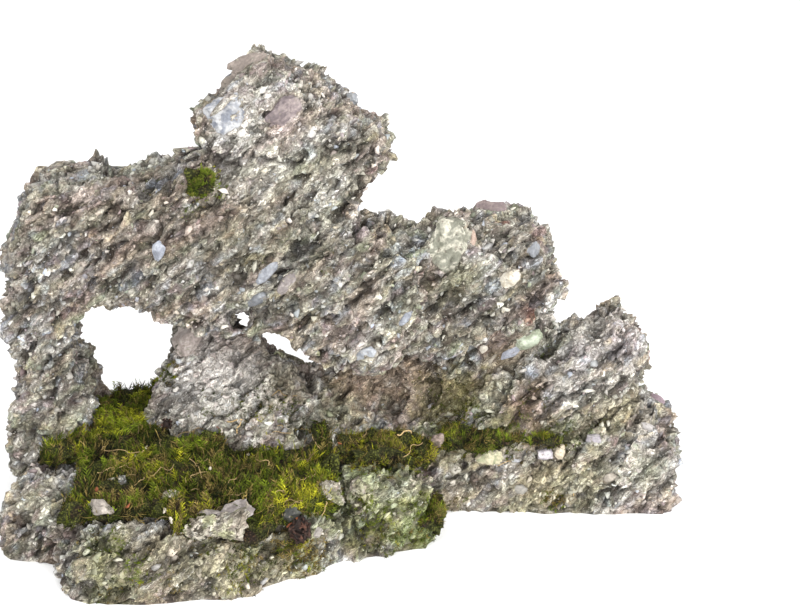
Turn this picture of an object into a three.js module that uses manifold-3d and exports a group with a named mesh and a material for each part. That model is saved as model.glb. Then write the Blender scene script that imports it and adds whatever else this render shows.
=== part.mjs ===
// A mossy rock: one weathered piece of coarse puddingstone with a natural arch, the cushions of
// moss on its ledges, and two chips of bark caught in the moss. Millimetres, +Z up. The origin is
// on the ground under the middle of the whole, and the side with the deepest moss faces -Y.
import * as THREE from "three";
import { ImprovedNoise } from "three/addons/math/ImprovedNoise.js";
import { MeshSurfaceSampler } from "three/addons/math/MeshSurfaceSampler.js";
import { MarchingCubes } from "three/addons/objects/MarchingCubes.js";
import { mergeVertices } from "three/addons/utils/BufferGeometryUtils.js";
import Module from "manifold-3d";

// Driving dimensions of the stone
const STONE_FACET = 11.6; // the size of a facet
const BLOCK_ROUND = 10; // the radius of a block's corners
const BLOCK_BLEND = 8; // how far two blocks run into each other
const LUMP_LENGTH = 26; // the broad lumps of the skin
const LUMP_HEIGHT = 4.4;
const KNOB_LENGTH = 13; // the smaller lumps on them
const KNOB_HEIGHT = 1.9;
const BED_DIP = 36; // the beds rise towards +X by this many degrees
const BED_THICKNESS = 27;
const BED_LEDGE = 1.8; // how far the edge of a bed stands out
const BED_WANDER = 60; // the length over which a bed bends
const PEBBLE_COUNT = 8;
const PEBBLE_RADIUS = { least: 3.4, most: 6.2 };
const SMALL_CLAST = 12; // a clast no longer than this has fewer facets
const GROUND_CUT = 600; // the width and depth of the block that cuts the stone off at the ground

// Driving dimensions of the moss and the bark
const MOSS_FACET = 11;
const MOSS_BLEND = 7;
const TUFT_LENGTH = 15;
const TUFT_HEIGHT = 2.6;
const CLEARANCE = 0.5; // between the moss or the bark and what it lies on
const LEAST_OVERLAP = 0.001; // in cubic millimetres

// The front view looks along +Y and down by this many degrees. A clast's place is given as x and z
// where its line of sight crosses the plane y = 0.
const VIEW_FALL = 22;

const GRID_TURN = new THREE.Euler(0.5, 0.35, 0.6); // keeps the facets' grid off the stone's planes

const wasm = await Module();
wasm.setup();
const noise = new ImprovedNoise();

// Two octaves of smooth noise at a point, about -1 to 1. Each seed gives another field.
function swell(point, length, seed) {
  const x = point.x / length + seed * 7.31;
  const y = point.y / length + seed * 3.17;
  const z = point.z / length + seed * 5.73;
  return noise.noise(x, y, z) + 0.45 * noise.noise(2.1 * x, 2.1 * y, 2.1 * z);
}

// A repeatable source of numbers from 0 to 1.
function randomFrom(seed) {
  let state = seed;
  return () => {
    state = (state * 1664525 + 1013904223) % 4294967296;
    return state / 4294967296;
  };
}

// A closed geometry as a solid that can be joined and cut.
function solidOf(geometry) {
  const bare = new THREE.BufferGeometry().setAttribute("position", geometry.getAttribute("position"));
  if (geometry.index) bare.setIndex(geometry.index);
  const merged = mergeVertices(bare, 1e-3);
  return new wasm.Manifold(
    new wasm.Mesh({
      numProp: 3,
      vertProperties: merged.getAttribute("position").array,
      triVerts: new Uint32Array(merged.index.array),
    }),
  );
}

// A solid as a geometry.
function geometryOf(solid) {
  const mesh = solid.getMesh();
  return new THREE.BufferGeometry()
    .setAttribute("position", new THREE.BufferAttribute(new Float32Array(mesh.vertProperties), 3))
    .setIndex(new THREE.BufferAttribute(new Uint32Array(mesh.triVerts), 1));
}

// The largest body of a solid, without the hollows shut in it. Merged anew, a hollow is a body too.
function mainBody(solid) {
  const bodies = solidOf(geometryOf(solid)).decompose();
  return bodies.reduce((most, body) => (body.volume() > most.volume() ? body : most));
}

function turned({ rise = 0, roll = 0, yaw = 0 }) {
  const { degToRad } = THREE.MathUtils;
  return new THREE.Euler(degToRad(roll), degToRad(-rise), degToRad(yaw), "ZYX");
}

// A rounded block: at is its middle and half its half sizes. rise lifts its +X end, roll turns it
// about its own length, and yaw turns it about the vertical, in degrees.
function placed(block) {
  const { at, half, round = Math.min(BLOCK_ROUND, 0.9 * Math.min(...half)) } = block;
  const into = new THREE.Matrix4().makeRotationFromEuler(turned(block)).setPosition(...at).invert();
  return { into, core: new THREE.Vector3(...half).subScalar(round), round };
}

// The distance from a point to a rounded block's skin, below zero inside it.
function blockDistance(point, { into, core, round }) {
  const p = point.clone().applyMatrix4(into);
  const over = new THREE.Vector3(Math.abs(p.x), Math.abs(p.y), Math.abs(p.z)).sub(core);
  const inside = Math.min(Math.max(over.x, over.y, over.z), 0);
  return over.max(new THREE.Vector3(0, 0, 0)).length() + inside - round;
}

// The distance to several blocks, which run together where they are close.
function togetherDistance(point, blocks, blend) {
  return blocks.reduce((least, block) => {
    const d = blockDistance(point, block);
    const near = Math.max(blend - Math.abs(least - d), 0) / blend;
    return Math.min(least, d) - (near * near * blend) / 4;
  }, 1e3);
}

// The skin of a distance field around some blocks, as a solid of facets of one size. With grow, each
// corner moves out along its own edge of the grid, so that the grown skin never meets the first one.
function carve(distance, facet, blocks, grow = 0) {
  const { centre, reach } = spaceOf(blocks);
  const count = Math.ceil((2 * reach) / facet) + 4;
  const frame = new THREE.Matrix4().makeRotationFromEuler(GRID_TURN).setPosition(centre);
  const cubes = new MarchingCubes(count, undefined, false, false, 20000);
  cubes.isolation = 0;
  const clear = 0.06 * facet; // keeps each corner off the grid's own points, and is more than grow
  const point = new THREE.Vector3();
  for (let k = 0; k < count; k += 1) {
    for (let j = 0; j < count; j += 1) {
      for (let i = 0; i < count; i += 1) {
        point.set(i, j, k).subScalar(count / 2).multiplyScalar(facet).applyMatrix4(frame);
        const d = distance(point);
        cubes.setCell(i, j, k, grow - (d < 0 ? Math.min(d, -clear) : Math.max(d, clear)));
      }
    }
  }
  cubes.update();
  const size = (count / 2) * facet;
  return solidOf(
    new THREE.BufferGeometry()
      .setAttribute("position", new THREE.BufferAttribute(cubes.positionArray.slice(0, cubes.count * 3), 3))
      .scale(size, size, size)
      .applyMatrix4(frame),
  );
}

// The middle of a list of blocks, and how far they reach from it.
function spaceOf(blocks) {
  const box = new THREE.Box3();
  for (const { at, half } of blocks) {
    const size = new THREE.Vector3(...half).multiplyScalar(2);
    box.union(new THREE.Box3().setFromCenterAndSize(new THREE.Vector3(...at), size));
  }
  return { centre: box.getCenter(new THREE.Vector3()), reach: 0.5 * box.getSize(new THREE.Vector3()).length() };
}

// The stone's main blocks
const STONE_BLOCKS = [
  { name: "left base", at: [-96, -47, 8], half: [46, 74, 26], yaw: 7, round: 16 },
  { name: "left base, front", at: [-54, -57, 8], half: [34, 50, 26], yaw: 27, round: 16 },
  { name: "left base, corner", at: [-122, -32, 9], half: [40, 54, 25], yaw: -14, round: 16 },
  { name: "left base, back", at: [-92, 20, 10], half: [70, 34, 24], yaw: 3 },
  { name: "middle base", at: [10, -32, 13], half: [28, 43, 26], yaw: 16, round: 14 },
  { name: "middle base, back", at: [24, 14, 15], half: [54, 38, 25] },
  { name: "right base", at: [108, 8, 14], half: [61, 36, 26], yaw: -3 },
  { name: "left leg", at: [-151, 0, 92], half: [16, 28, 54], rise: 4, round: 14 },
  { name: "left leg's foot", at: [-150, 6, 44], half: [20, 34, 30], rise: -12, round: 16 },
  { name: "arch, left", at: [-108, -6, 143], half: [50, 32, 31], rise: 3 },
  { name: "arch, middle", at: [-50, -12, 136], half: [46, 34, 36], rise: -12 },
  { name: "arch, right", at: [6, -20, 118], half: [31, 30, 34], rise: -14 },
  { name: "shoulder", at: [14, 0, 117], half: [24, 28, 16], rise: -26 },
  { name: "pillar", at: [-67, -1, 61], half: [29, 33, 16], rise: -20, roll: 48, yaw: -14 },
  { name: "pillar's foot", at: [-26, -8, 42], half: [36, 36, 15], rise: -26, roll: 24 },
  { name: "pillar's back", at: [-48, 34, 34], half: [46, 20, 30], rise: -28 },
  { name: "pillar's head", at: [-72, 28, 62], half: [18, 20, 27], rise: -14 },
  { name: "crown", at: [-27, 0, 186], half: [41, 32, 33], rise: -35 },
  { name: "crown's corner", at: [-52, -2, 191], half: [18, 26, 22], rise: 16 },
  { name: "upper horn", at: [64, -2, 116], half: [41, 30, 22], rise: 29 },
  { name: "upper horn's shelf", at: [56, -2, 137], half: [18, 22, 12], rise: 14 },
  { name: "core", at: [44, 34, 64], half: [46, 26, 44], rise: 24 },
  { name: "saddle", at: [80, 20, 72], half: [30, 22, 22], rise: 30 },
  { name: "lower horn", at: [108, 0, 63], half: [46, 27, 17], rise: 27 },
  { name: "right step", at: [116, 16, 34], half: [34, 24, 20], rise: 4 },
];

// Slots that the weather has opened right through, between the arch and the pillar
const SLOTS = [
  { at: [-30, 0, 79.5], half: [14.5, 90, 5.6], rise: -31 },
  { at: [-51, 0, 94], half: [4.8, 90, 4.4], rise: 10 },
];

// Clasts that stand out of the stone. place is [x, z] in the front view, and size is the clast's
// length, width and height.
const CLASTS = [
  { name: "green slab", place: [50, 138], size: [32, 24, 12], rise: 50 },
  { name: "cream pebble", place: [81, 119], size: [11, 9, 8], rise: 40 },
  { name: "mauve cap", place: [72, 149], size: [13, 10, 7], rise: 8 },
  { name: "green lens", place: [90, 85], size: [15, 12, 6], rise: 12 },
  { name: "mauve nub", place: [148, 50], size: [11, 11, 8], rise: 20 },
  { name: "cream flat", place: [71, 20], size: [15, 9, 5], rise: -8 },
  { name: "lilac pebble", place: [99, 21], size: [9, 8, 6], rise: 10 },
  { name: "cream tooth", place: [106, 23], size: [5, 7, 8], rise: 0 },
  { name: "pale pebble", place: [122, 30], size: [10, 9, 7], rise: 15 },
  { name: "blue slab", place: [-58, 206], size: [22, 16, 6], rise: 40 },
  { name: "purple slab", place: [-31, 206], size: [18, 14, 6], rise: 30 },
  { name: "grey block", place: [-71, 74], size: [14, 12, 8], rise: 0 },
];

// How far the weathered skin stands out of the smooth one: lumps, knobs and the edges of beds
const bedNormal = new THREE.Vector3(0, 0.25, 1)
  .applyAxisAngle(new THREE.Vector3(0, 1, 0), THREE.MathUtils.degToRad(-BED_DIP))
  .normalize();

function relief(point) {
  const bed = point.dot(bedNormal) / BED_THICKNESS + 0.5 * swell(point, BED_WANDER, 3);
  const ledge = 2 * Math.abs(2 * (bed - Math.floor(bed)) - 1) - 1;
  return LUMP_HEIGHT * swell(point, LUMP_LENGTH, 1) + KNOB_HEIGHT * swell(point, KNOB_LENGTH, 2) + BED_LEDGE * ledge;
}

// A pebble with its height along the normal of the skin it sits in, sunk by a quarter of its height
// and grown all round by a clearance.
function pebble({ spot, normal, half, spin, detail }, grow) {
  const onto = new THREE.Quaternion().setFromUnitVectors(new THREE.Vector3(0, 0, 1), normal);
  return new THREE.IcosahedronGeometry(1, detail)
    .scale(...half.map((radius) => radius + grow))
    .rotateZ(spin)
    .applyQuaternion(onto)
    .translate(...spot.clone().addScaledVector(normal, -0.25 * half[2]).toArray());
}

// The clasts on a skin, each where its line of sight in the front view meets it.
function claspedIn(mesh) {
  const sight = new THREE.Vector3(0, 1, 0).applyAxisAngle(
    new THREE.Vector3(1, 0, 0),
    THREE.MathUtils.degToRad(-VIEW_FALL),
  );
  return CLASTS.map(({ name, place: [x, z], size, rise }) => {
    const from = new THREE.Vector3(x, 0, z).addScaledVector(sight, -400);
    const [hit] = new THREE.Raycaster(from, sight).intersectObject(mesh);
    if (!hit) throw new Error(`${name} misses the stone`);
    const half = size.map((length) => length / 2);
    const spin = THREE.MathUtils.degToRad(rise);
    const detail = Math.max(...size) > SMALL_CLAST ? 1 : 0;
    return { spot: hit.point, normal: hit.face.normal.clone(), half, spin, detail };
  });
}

// Smaller pebbles scattered over a skin.
function scatteredOn(mesh) {
  const random = randomFrom(7);
  const sampler = new MeshSurfaceSampler(mesh).setRandomGenerator(random).build();
  const { least, most } = PEBBLE_RADIUS;
  return Array.from({ length: PEBBLE_COUNT }, () => {
    const spot = new THREE.Vector3();
    const normal = new THREE.Vector3();
    do {
      sampler.sample(spot, normal);
    } while (spot.z < 2 * most);
    const radius = least + (most - least) * random();
    return { spot, normal, half: [1.3 * radius, radius, 0.8 * radius], spin: Math.PI * random(), detail: 0 };
  });
}

// The stone, and the same stone with its skin grown by the clearance, which cuts what lies on it.
function makeRock() {
  const blocks = STONE_BLOCKS.map(placed);
  const field = (p) => togetherDistance(p, blocks, BLOCK_BLEND) - relief(p);
  const skin = carve(field, STONE_FACET, STONE_BLOCKS);
  const grownSkin = carve(field, STONE_FACET, STONE_BLOCKS, CLEARANCE);
  const mesh = new THREE.Mesh(geometryOf(skin), new THREE.MeshBasicMaterial({ side: THREE.DoubleSide }));
  const pebbles = [...claspedIn(mesh), ...scatteredOn(mesh)];
  const together = (base, grow) => pebbles.reduce((sum, spec) => sum.add(solidOf(pebble(spec, grow))), base);
  const slotted = SLOTS.reduce((sum, slot) => {
    const hole = new THREE.IcosahedronGeometry(1, 3)
      .scale(...slot.half)
      .rotateY(THREE.MathUtils.degToRad(-slot.rise))
      .rotateX(THREE.MathUtils.degToRad(-VIEW_FALL))
      .translate(...slot.at);
    return sum.subtract(solidOf(hole));
  }, together(skin, 0));
  const ground = new THREE.BoxGeometry(GROUND_CUT, GROUND_CUT, GROUND_CUT).translate(0, 0, -GROUND_CUT / 2);
  return { rock: mainBody(slotted.subtract(solidOf(ground))), grown: together(grownSkin, CLEARANCE) };
}

// Each cushion of moss is a few low mounds that run together.
const MOSS = {
  moss_terrace: [
    { at: [-128, -16, 35], half: [26, 34, 9], rise: 4 },
    { at: [-96, -30, 35], half: [36, 42, 10] },
    { at: [-62, -60, 33], half: [38, 38, 10] },
    { at: [-28, -64, 33], half: [30, 30, 10], rise: -5 },
    { at: [-38, -16, 37], half: [34, 24, 11] },
    { at: [-106, -84, 30], half: [32, 22, 9] },
    { at: [-60, -98, 27], half: [24, 17, 9], roll: -24 },
    { at: [-100, 14, 37], half: [26, 22, 9] },
  ],
  moss_hollow: [
    { at: [8, -38, 36], half: [22, 20, 8] },
    { at: [28, -34, 37], half: [18, 16, 8] },
  ],
  moss_ledge: [
    { at: [60, -22, 39], half: [20, 11, 8] },
    { at: [88, -19, 40], half: [22, 10, 8] },
    { at: [112, -18, 41], half: [16, 10, 7] },
  ],
  moss_tuft: [{ at: [-67, -38, 178], half: [11, 10, 11] }],
  moss_pillar: [
    { at: [-87, 26, 44], half: [10, 13, 12] },
    { at: [-96, 24, 40], half: [10, 13, 9] },
  ],
  moss_foot: [{ at: [36, -58, 14], half: [15, 11, 13] }],
};

const BARK = {
  bark_left: { at: [-88, -24, 49], half: [6, 9, 5], rise: 30, roll: -24 },
  bark_front: { at: [-22, -94, 28], half: [8, 6, 13], rise: 20, roll: -30 },
};

// What is left of a solid once everything that it lies on is cut away. In a sharp hollow the grown
// skin can lie inside the stone, which is then cut away as well.
function restingOn(solid, under) {
  const above = under.reduce((left, below) => left.subtract(below), solid);
  const cut = above.intersect(rock).volume() > LEAST_OVERLAP ? above.subtract(rock) : above;
  return mainBody(cut);
}

const { rock, grown } = makeRock();
const solids = { rock };
const under = [grown];

for (const [name, mounds] of Object.entries(MOSS)) {
  const blocks = mounds.map(placed);
  const field = (p) => togetherDistance(p, blocks, MOSS_BLEND) - TUFT_HEIGHT * swell(p, TUFT_LENGTH, 11);
  solids[name] = restingOn(carve(field, MOSS_FACET, mounds), under);
  under.push(carve(field, MOSS_FACET, mounds, CLEARANCE));
}

for (const [name, chip] of Object.entries(BARK)) {
  const flake = new THREE.IcosahedronGeometry(1, 0)
    .scale(...chip.half)
    .applyMatrix4(new THREE.Matrix4().makeRotationFromEuler(turned(chip)))
    .translate(...chip.at);
  solids[name] = restingOn(solidOf(flake), under);
}

const FINISHES = {
  rock: new THREE.MeshStandardMaterial({ color: 0x8f8b82, roughness: 0.95, metalness: 0 }),
  moss: new THREE.MeshStandardMaterial({ color: 0x55661a, roughness: 1, metalness: 0 }),
  bark: new THREE.MeshStandardMaterial({ color: 0x3b2a22, roughness: 0.9, metalness: 0 }),
};

const group = new THREE.Group();
for (const [name, solid] of Object.entries(solids)) {
  const piece = new THREE.Mesh(geometryOf(solid), FINISHES[name.split("_")[0]]);
  piece.name = name;
  group.add(piece);
}

// The whole is moved so that the origin is on the ground under its middle.
const bounds = new THREE.Box3().setFromObject(group);
const middle = bounds.getCenter(new THREE.Vector3());
group.position.set(-middle.x, -middle.y, -bounds.min.z);

export default group;
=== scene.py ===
"""A mossy rock: a weathered piece of coarse puddingstone with a natural arch, and the moss on it.

The rough skin of the stone, its clasts and grit, the moss and what is caught in it are modelled
around the solids of the frame. Each group of pieces is made by one operator of a small add-on.
"""

import math

import bmesh
import bpy
import numpy as np
from bpy.props import FloatProperty, FloatVectorProperty, IntProperty, PointerProperty
from bpy.types import Operator, Panel, PropertyGroup
from mathutils import Matrix, Vector, noise
from mathutils.bvhtree import BVHTree
from mathutils.kdtree import KDTree


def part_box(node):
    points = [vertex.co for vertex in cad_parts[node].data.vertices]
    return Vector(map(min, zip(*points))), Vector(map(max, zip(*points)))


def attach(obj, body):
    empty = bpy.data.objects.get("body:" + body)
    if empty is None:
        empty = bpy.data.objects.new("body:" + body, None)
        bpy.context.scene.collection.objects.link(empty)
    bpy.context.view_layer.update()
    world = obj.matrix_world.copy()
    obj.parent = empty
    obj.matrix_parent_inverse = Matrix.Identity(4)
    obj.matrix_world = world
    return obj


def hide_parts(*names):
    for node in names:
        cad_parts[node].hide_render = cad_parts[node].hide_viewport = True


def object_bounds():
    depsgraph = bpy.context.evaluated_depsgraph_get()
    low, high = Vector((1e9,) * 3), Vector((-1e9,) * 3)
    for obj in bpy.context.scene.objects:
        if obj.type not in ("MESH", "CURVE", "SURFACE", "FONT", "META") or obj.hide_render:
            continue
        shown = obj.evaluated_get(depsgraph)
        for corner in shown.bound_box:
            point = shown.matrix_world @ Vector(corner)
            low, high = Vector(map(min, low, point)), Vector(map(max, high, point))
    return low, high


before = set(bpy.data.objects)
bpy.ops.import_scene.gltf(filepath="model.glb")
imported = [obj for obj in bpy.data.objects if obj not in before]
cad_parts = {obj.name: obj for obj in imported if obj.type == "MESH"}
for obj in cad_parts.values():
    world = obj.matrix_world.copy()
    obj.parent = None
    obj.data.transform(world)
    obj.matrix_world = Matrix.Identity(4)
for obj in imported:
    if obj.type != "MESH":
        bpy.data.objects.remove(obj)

bl_info = {
    "name": "Mossy Rock",
    "version": (1, 0, 0),
    "blender": (4, 5, 0),
    "location": "View3D > Sidebar > Mossy Rock",
    "description": "Models a mossy rock around its packed solids",
    "category": "Add Mesh",
}

MM = 0.001
SAME_PLACE = 1e-6
CAD_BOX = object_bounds()
BODY = "root"
MOSS_NODES = ["moss_terrace", "moss_hollow", "moss_ledge", "moss_tuft", "moss_pillar", "moss_foot"]

# The camera of the photograph, whose frame is 800 by 611 pixels
FRAME_WIDTH = 800
FRAME_HEIGHT = 611
FOCAL_PIXELS = 2300
SENSOR_WIDTH = 36
VIEW_TARGET = Vector((0.0266, 0.0303, 0.102))
VIEW_DISTANCE = 1.15
VIEW_ELEVATION = math.radians(22)


# Small tools

def linear(code):
    """A colour written as six hexadecimal digits of sRGB, as linear red, green and blue."""
    parts = np.array([int(code[i : i + 2], 16) for i in (0, 2, 4)]) / 255
    return tuple(np.where(parts <= 0.04045, parts / 12.92, ((parts + 0.055) / 1.055) ** 2.4))


def smooth(value, low=0.0, high=1.0):
    """0 below low, 1 above high, and an even curve between them."""
    t = np.clip((value - low) / (high - low), 0.0, 1.0)
    return t * t * (3.0 - 2.0 * t)


def unit(rows):
    """The rows at a length of one."""
    return rows / np.linalg.norm(rows, axis=1, keepdims=True)


def field(points, size, shift=(0, 0, 0)):
    """Smooth noise around zero at each point, as wide as size in metres. A shift gives other noise."""
    return np.array([noise.noise(Vector(p) / size + Vector(shift)) for p in points.tolist()])


def mixed(first, second, share):
    """Rows of colours between first and second."""
    share = np.asarray(share)[..., None]
    return np.asarray(first) * (1.0 - share) + np.asarray(second) * share


def view_axes():
    """The camera's right, up and forward directions."""
    right = Vector((1.0, 0.0, 0.0))
    forward = Vector((0.0, math.cos(VIEW_ELEVATION), -math.sin(VIEW_ELEVATION)))
    return right, right.cross(forward), forward


def camera_place():
    """Where the camera stands."""
    return VIEW_TARGET - VIEW_DISTANCE * view_axes()[2]


def sight(pixel):
    """The direction in which the camera sees a pixel of the photograph."""
    right, up, forward = view_axes()
    across = pixel[0] - FRAME_WIDTH / 2
    down = pixel[1] - FRAME_HEIGHT / 2
    return (FOCAL_PIXELS * forward + across * right - down * up).normalized()


def pixels_of(points):
    """The columns and rows at which the camera sees points, and the size of a pixel there."""
    right, up, forward = (np.array(axis) for axis in view_axes())
    away = points - np.array(camera_place())
    pixel_size = (away @ forward) / FOCAL_PIXELS
    columns = FRAME_WIDTH / 2 + (away @ right) / pixel_size
    return columns, FRAME_HEIGHT / 2 - (away @ up) / pixel_size, pixel_size


def corners_of(mesh):
    """The places of a mesh's corners, a row for each."""
    points = np.empty(3 * len(mesh.vertices), np.float32)
    mesh.vertices.foreach_get("co", points)
    return points.reshape(-1, 3)


def move_corners(mesh, points):
    """Puts a mesh's corners at the places in the rows of points."""
    mesh.vertices.foreach_set("co", points.astype(np.float32).ravel())
    mesh.update()


class Surface:
    """A mesh as arrays, for placing things on it."""

    def __init__(self, mesh):
        mesh.calc_loop_triangles()
        self.points = corners_of(mesh).astype(float)
        self.normals = np.empty(3 * len(mesh.vertices), np.float32)
        mesh.vertex_normals.foreach_get("vector", self.normals)
        self.normals = self.normals.reshape(-1, 3).astype(float)
        self.triangles = np.empty(3 * len(mesh.loop_triangles), np.int32)
        mesh.loop_triangles.foreach_get("vertices", self.triangles)
        self.triangles = self.triangles.reshape(-1, 3)
        self.tree = BVHTree.FromPolygons(self.points.tolist(), self.triangles.tolist())

    def seen(self, pixel):
        """Where the camera's line through a pixel meets the surface, or else the surface's nearest
        place to where it passes the rock: place, normal and face."""
        place, normal, face, _ = self.tree.ray_cast(camera_place(), sight(pixel))
        if place is None:
            middle = camera_place() + VIEW_DISTANCE * sight(pixel)
            place, normal, face, _ = self.tree.find_nearest(middle)
        return place, normal, face

    def scattered(self, count, random, weight=None):
        """Random places on the surface: places, normals and the nearest corner of each."""
        a, b, c = (self.points[self.triangles[:, k]] for k in range(3))
        chance = np.linalg.norm(np.cross(b - a, c - a), axis=1)
        if weight is not None:
            chance = chance * weight[self.triangles].mean(1)
        picks = random.choice(len(chance), count, p=chance / chance.sum())
        r, s = random.random((2, count, 1))
        r = np.sqrt(r)
        places = a[picks] * (1 - r) + b[picks] * r * (1 - s) + c[picks] * r * s
        corners = self.triangles[picks, random.integers(0, 3, count)]
        return places, unit(self.normals[corners]), corners


def new_object(name, mesh):
    """An object in the scene at the origin, unturned."""
    obj = bpy.data.objects.new(name, mesh)
    bpy.context.scene.collection.objects.link(obj)
    return obj


def mesh_of(name, bm):
    """A mesh of what a bmesh holds. The bmesh is freed."""
    mesh = bpy.data.meshes.new(name)
    bm.to_mesh(mesh)
    bm.free()
    return mesh


def mesh_from(name, points, triangles):
    """A mesh of triangles from arrays of corners and of their numbers."""
    mesh = bpy.data.meshes.new(name)
    mesh.vertices.add(len(points))
    mesh.vertices.foreach_set("co", np.ascontiguousarray(points, np.float32).ravel())
    mesh.loops.add(triangles.size)
    mesh.loops.foreach_set("vertex_index", np.ascontiguousarray(triangles, np.int32).ravel())
    mesh.polygons.add(len(triangles))
    mesh.polygons.foreach_set("loop_start", np.arange(0, triangles.size, 3, dtype=np.int32))
    mesh.update(calc_edges=True)
    return mesh


def paint(mesh, name, colours):
    """Stores a colour for each corner of a mesh. Rows may have three or four numbers."""
    rows = np.ones((len(mesh.vertices), 4), np.float32)
    rows[:, : colours.shape[1]] = colours
    mesh.attributes.new(name, "FLOAT_COLOR", "POINT").data.foreach_set("color", rows.ravel())


def mesh_after_modifiers(obj):
    """The object's mesh with its modifiers applied. The object itself is removed."""
    evaluated = obj.evaluated_get(bpy.context.evaluated_depsgraph_get())
    mesh = bpy.data.meshes.new_from_object(evaluated)
    old = obj.data
    bpy.data.objects.remove(obj)
    bpy.data.meshes.remove(old)
    return mesh


def remeshed_node(node, facet, rounds):
    """A node's shape as an even mesh of small facets, with its edges smoothed."""
    bm = bmesh.new()
    bm.from_mesh(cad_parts[node].data)
    bmesh.ops.remove_doubles(bm, verts=bm.verts, dist=SAME_PLACE)
    obj = new_object(node + "_copy", mesh_of(node + "_copy", bm))
    remesh = obj.modifiers.new("Even facets", "REMESH")
    remesh.mode = "VOXEL"
    remesh.voxel_size = facet
    even = obj.modifiers.new("Soft edges", "SMOOTH")
    even.factor = 0.5
    even.iterations = rounds
    return mesh_after_modifiers(obj)


def finish_piece(obj, nodes=()):
    """A finished piece stays inside the solids' own box, rides on the body and stands for its nodes."""
    move_corners(obj.data, inside_box(corners_of(obj.data)))
    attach(obj, BODY)
    if nodes:
        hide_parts(*nodes)
    return obj


class Shape:
    """A small closed shape that is copied many times: its corners, its triangles and how far along
    its length each corner lies, from 0 at the root to 1 at the tip."""

    def __init__(self, bm):
        bmesh.ops.triangulate(bm, faces=bm.faces)
        bmesh.ops.recalc_face_normals(bm, faces=bm.faces)
        bm.verts.index_update()
        self.points = np.array([v.co[:] for v in bm.verts])
        self.triangles = np.array([[v.index for v in f.verts] for f in bm.faces])
        low = self.points[:, 2].min()
        high = self.points[:, 2].max()
        self.along = (self.points[:, 2] - low) / (high - low)
        bm.free()


def joined(name, shapes, picks, turns, places, colours, root_shade=1.0):
    """One mesh of many copies of a few shapes. turns holds a 3 by 3 matrix for each copy, whose
    columns are the copy's axes at their size. Colours run from root_shade at the root to full; on the
    moss this is partly the older stems' own darker colour and partly painted shade deep among the
    shoots."""
    points, triangles, tints = [], [], []
    first = 0
    for number, shape in enumerate(shapes):
        mine = np.flatnonzero(picks == number)
        if not len(mine):
            continue
        spots = np.einsum("nij,kj->nki", turns[mine], shape.points) + places[mine, None, :]
        corners = len(shape.points)
        starts = first + corners * np.arange(len(mine))
        points.append(spots.reshape(-1, 3))
        triangles.append((shape.triangles[None] + starts[:, None, None]).reshape(-1, 3))
        # Darker towards the root: painted shade among the shoots, over the older stems' own darker
        # colour.
        shade = root_shade + (1.0 - root_shade) * shape.along
        tints.append((colours[mine, None, :] * shade[None, :, None]).reshape(-1, 3))
        first += corners * len(mine)
    mesh = mesh_from(name, np.concatenate(points), np.concatenate(triangles))
    paint(mesh, "tint", np.concatenate(tints))
    return new_object(name, mesh)


def turns_to(axes, random, sizes, lean=None):
    """For each copy, a matrix that turns +Z to its axis, with a random turn about it or with +X
    towards lean, at the copy's three sizes."""
    side = random.normal(size=axes.shape) if lean is None else lean
    third = unit(np.cross(axes, side))
    side = np.cross(third, axes)
    return np.stack([side * sizes[:, :1], third * sizes[:, 1:2], axes * sizes[:, 2:]], axis=2)


def inside_box(points):
    """The points, moved into the solids' own box where they stand out of it."""
    low, high = (np.array(corner) for corner in CAD_BOX)
    return np.clip(points, low, high)


# Settings that a user may change

def length(name, description, millimetres):
    """A setting for a length."""
    return FloatProperty(name=name, description=description, default=millimetres * MM, min=0.0,
                         precision=4, unit="LENGTH")


def number(name, description, value):
    """A setting for a count."""
    return IntProperty(name=name, description=description, default=value, min=0)


def colour(name, description, code):
    """A setting for a colour, written as six hexadecimal digits."""
    return FloatVectorProperty(name=name, description=description, default=linear(code),
                               min=0.0, max=1.0, size=3, subtype="COLOR")


class StoneSettings(PropertyGroup):
    facet: length("Facet", "Size of the facets that are shaped", 1.05)
    triangles: number("Triangles", "How many triangles of the skin are kept", 190000)
    knob_length: length("Knob length", "Length of the small lumps", 9.0)
    knob_height: length("Knob height", "Height of the small lumps", 1.0)
    plate_length: length("Plate length", "Length of the broken plates", 21.0)
    plate_height: length("Plate height", "How far the plates stand out", 3.6)
    clast_length: length("Clast length", "Length of the clasts in the stone", 8.0)
    clast_height: length("Clast height", "How far the clasts stand out", 1.9)
    grain_length: length("Grain length", "Length of the grains between the clasts", 3.4)
    grain_height: length("Grain height", "How far the grains stand out", 1.0)
    worn_off: length("Worn off", "How far the skin lies inside its solid on average", 0.8)
    bed_thickness: length("Bed thickness", "Thickness of a bed", 8.5)
    bed_ledge: length("Bed ledge", "How far a bed's edge stands out", 1.4)
    bed_dip: FloatProperty(name="Bed dip", description="How steeply the beds rise towards +X",
                           default=math.radians(41), subtype="ANGLE")
    cement: colour("Cement", "The cement between the clasts", "9e9990")
    pale: colour("Pale", "Pale grey clasts", "b9b5ad")
    white: colour("White", "Quartz clasts", "d3d0ca")
    blue: colour("Blue grey", "Blue-grey clasts", "979ba2")
    mauve: colour("Mauve", "Purple-brown clasts", "8b7d7c")
    dark: colour("Dark", "Dark grey-brown clasts", "5f5750")
    tan: colour("Tan", "Yellowish clasts", "aba08c")
    olive: colour("Olive", "Green-grey clasts", "8d917f")


class GritSettings(PropertyGroup):
    coarse_count: number("Coarse grains", "How many coarse grains stand out of the skin", 3800)
    coarse_least: length("Least coarse grain", "Length of the smallest coarse grain", 2.0)
    coarse_most: length("Most coarse grain", "Length of the largest coarse grain", 5.6)
    fine_count: number("Fine grains", "How many fine grains stand out of the skin", 15000)
    fine_least: length("Least fine grain", "Length of the smallest fine grain", 0.9)
    fine_most: length("Most fine grain", "Length of the largest fine grain", 2.2)


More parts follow.
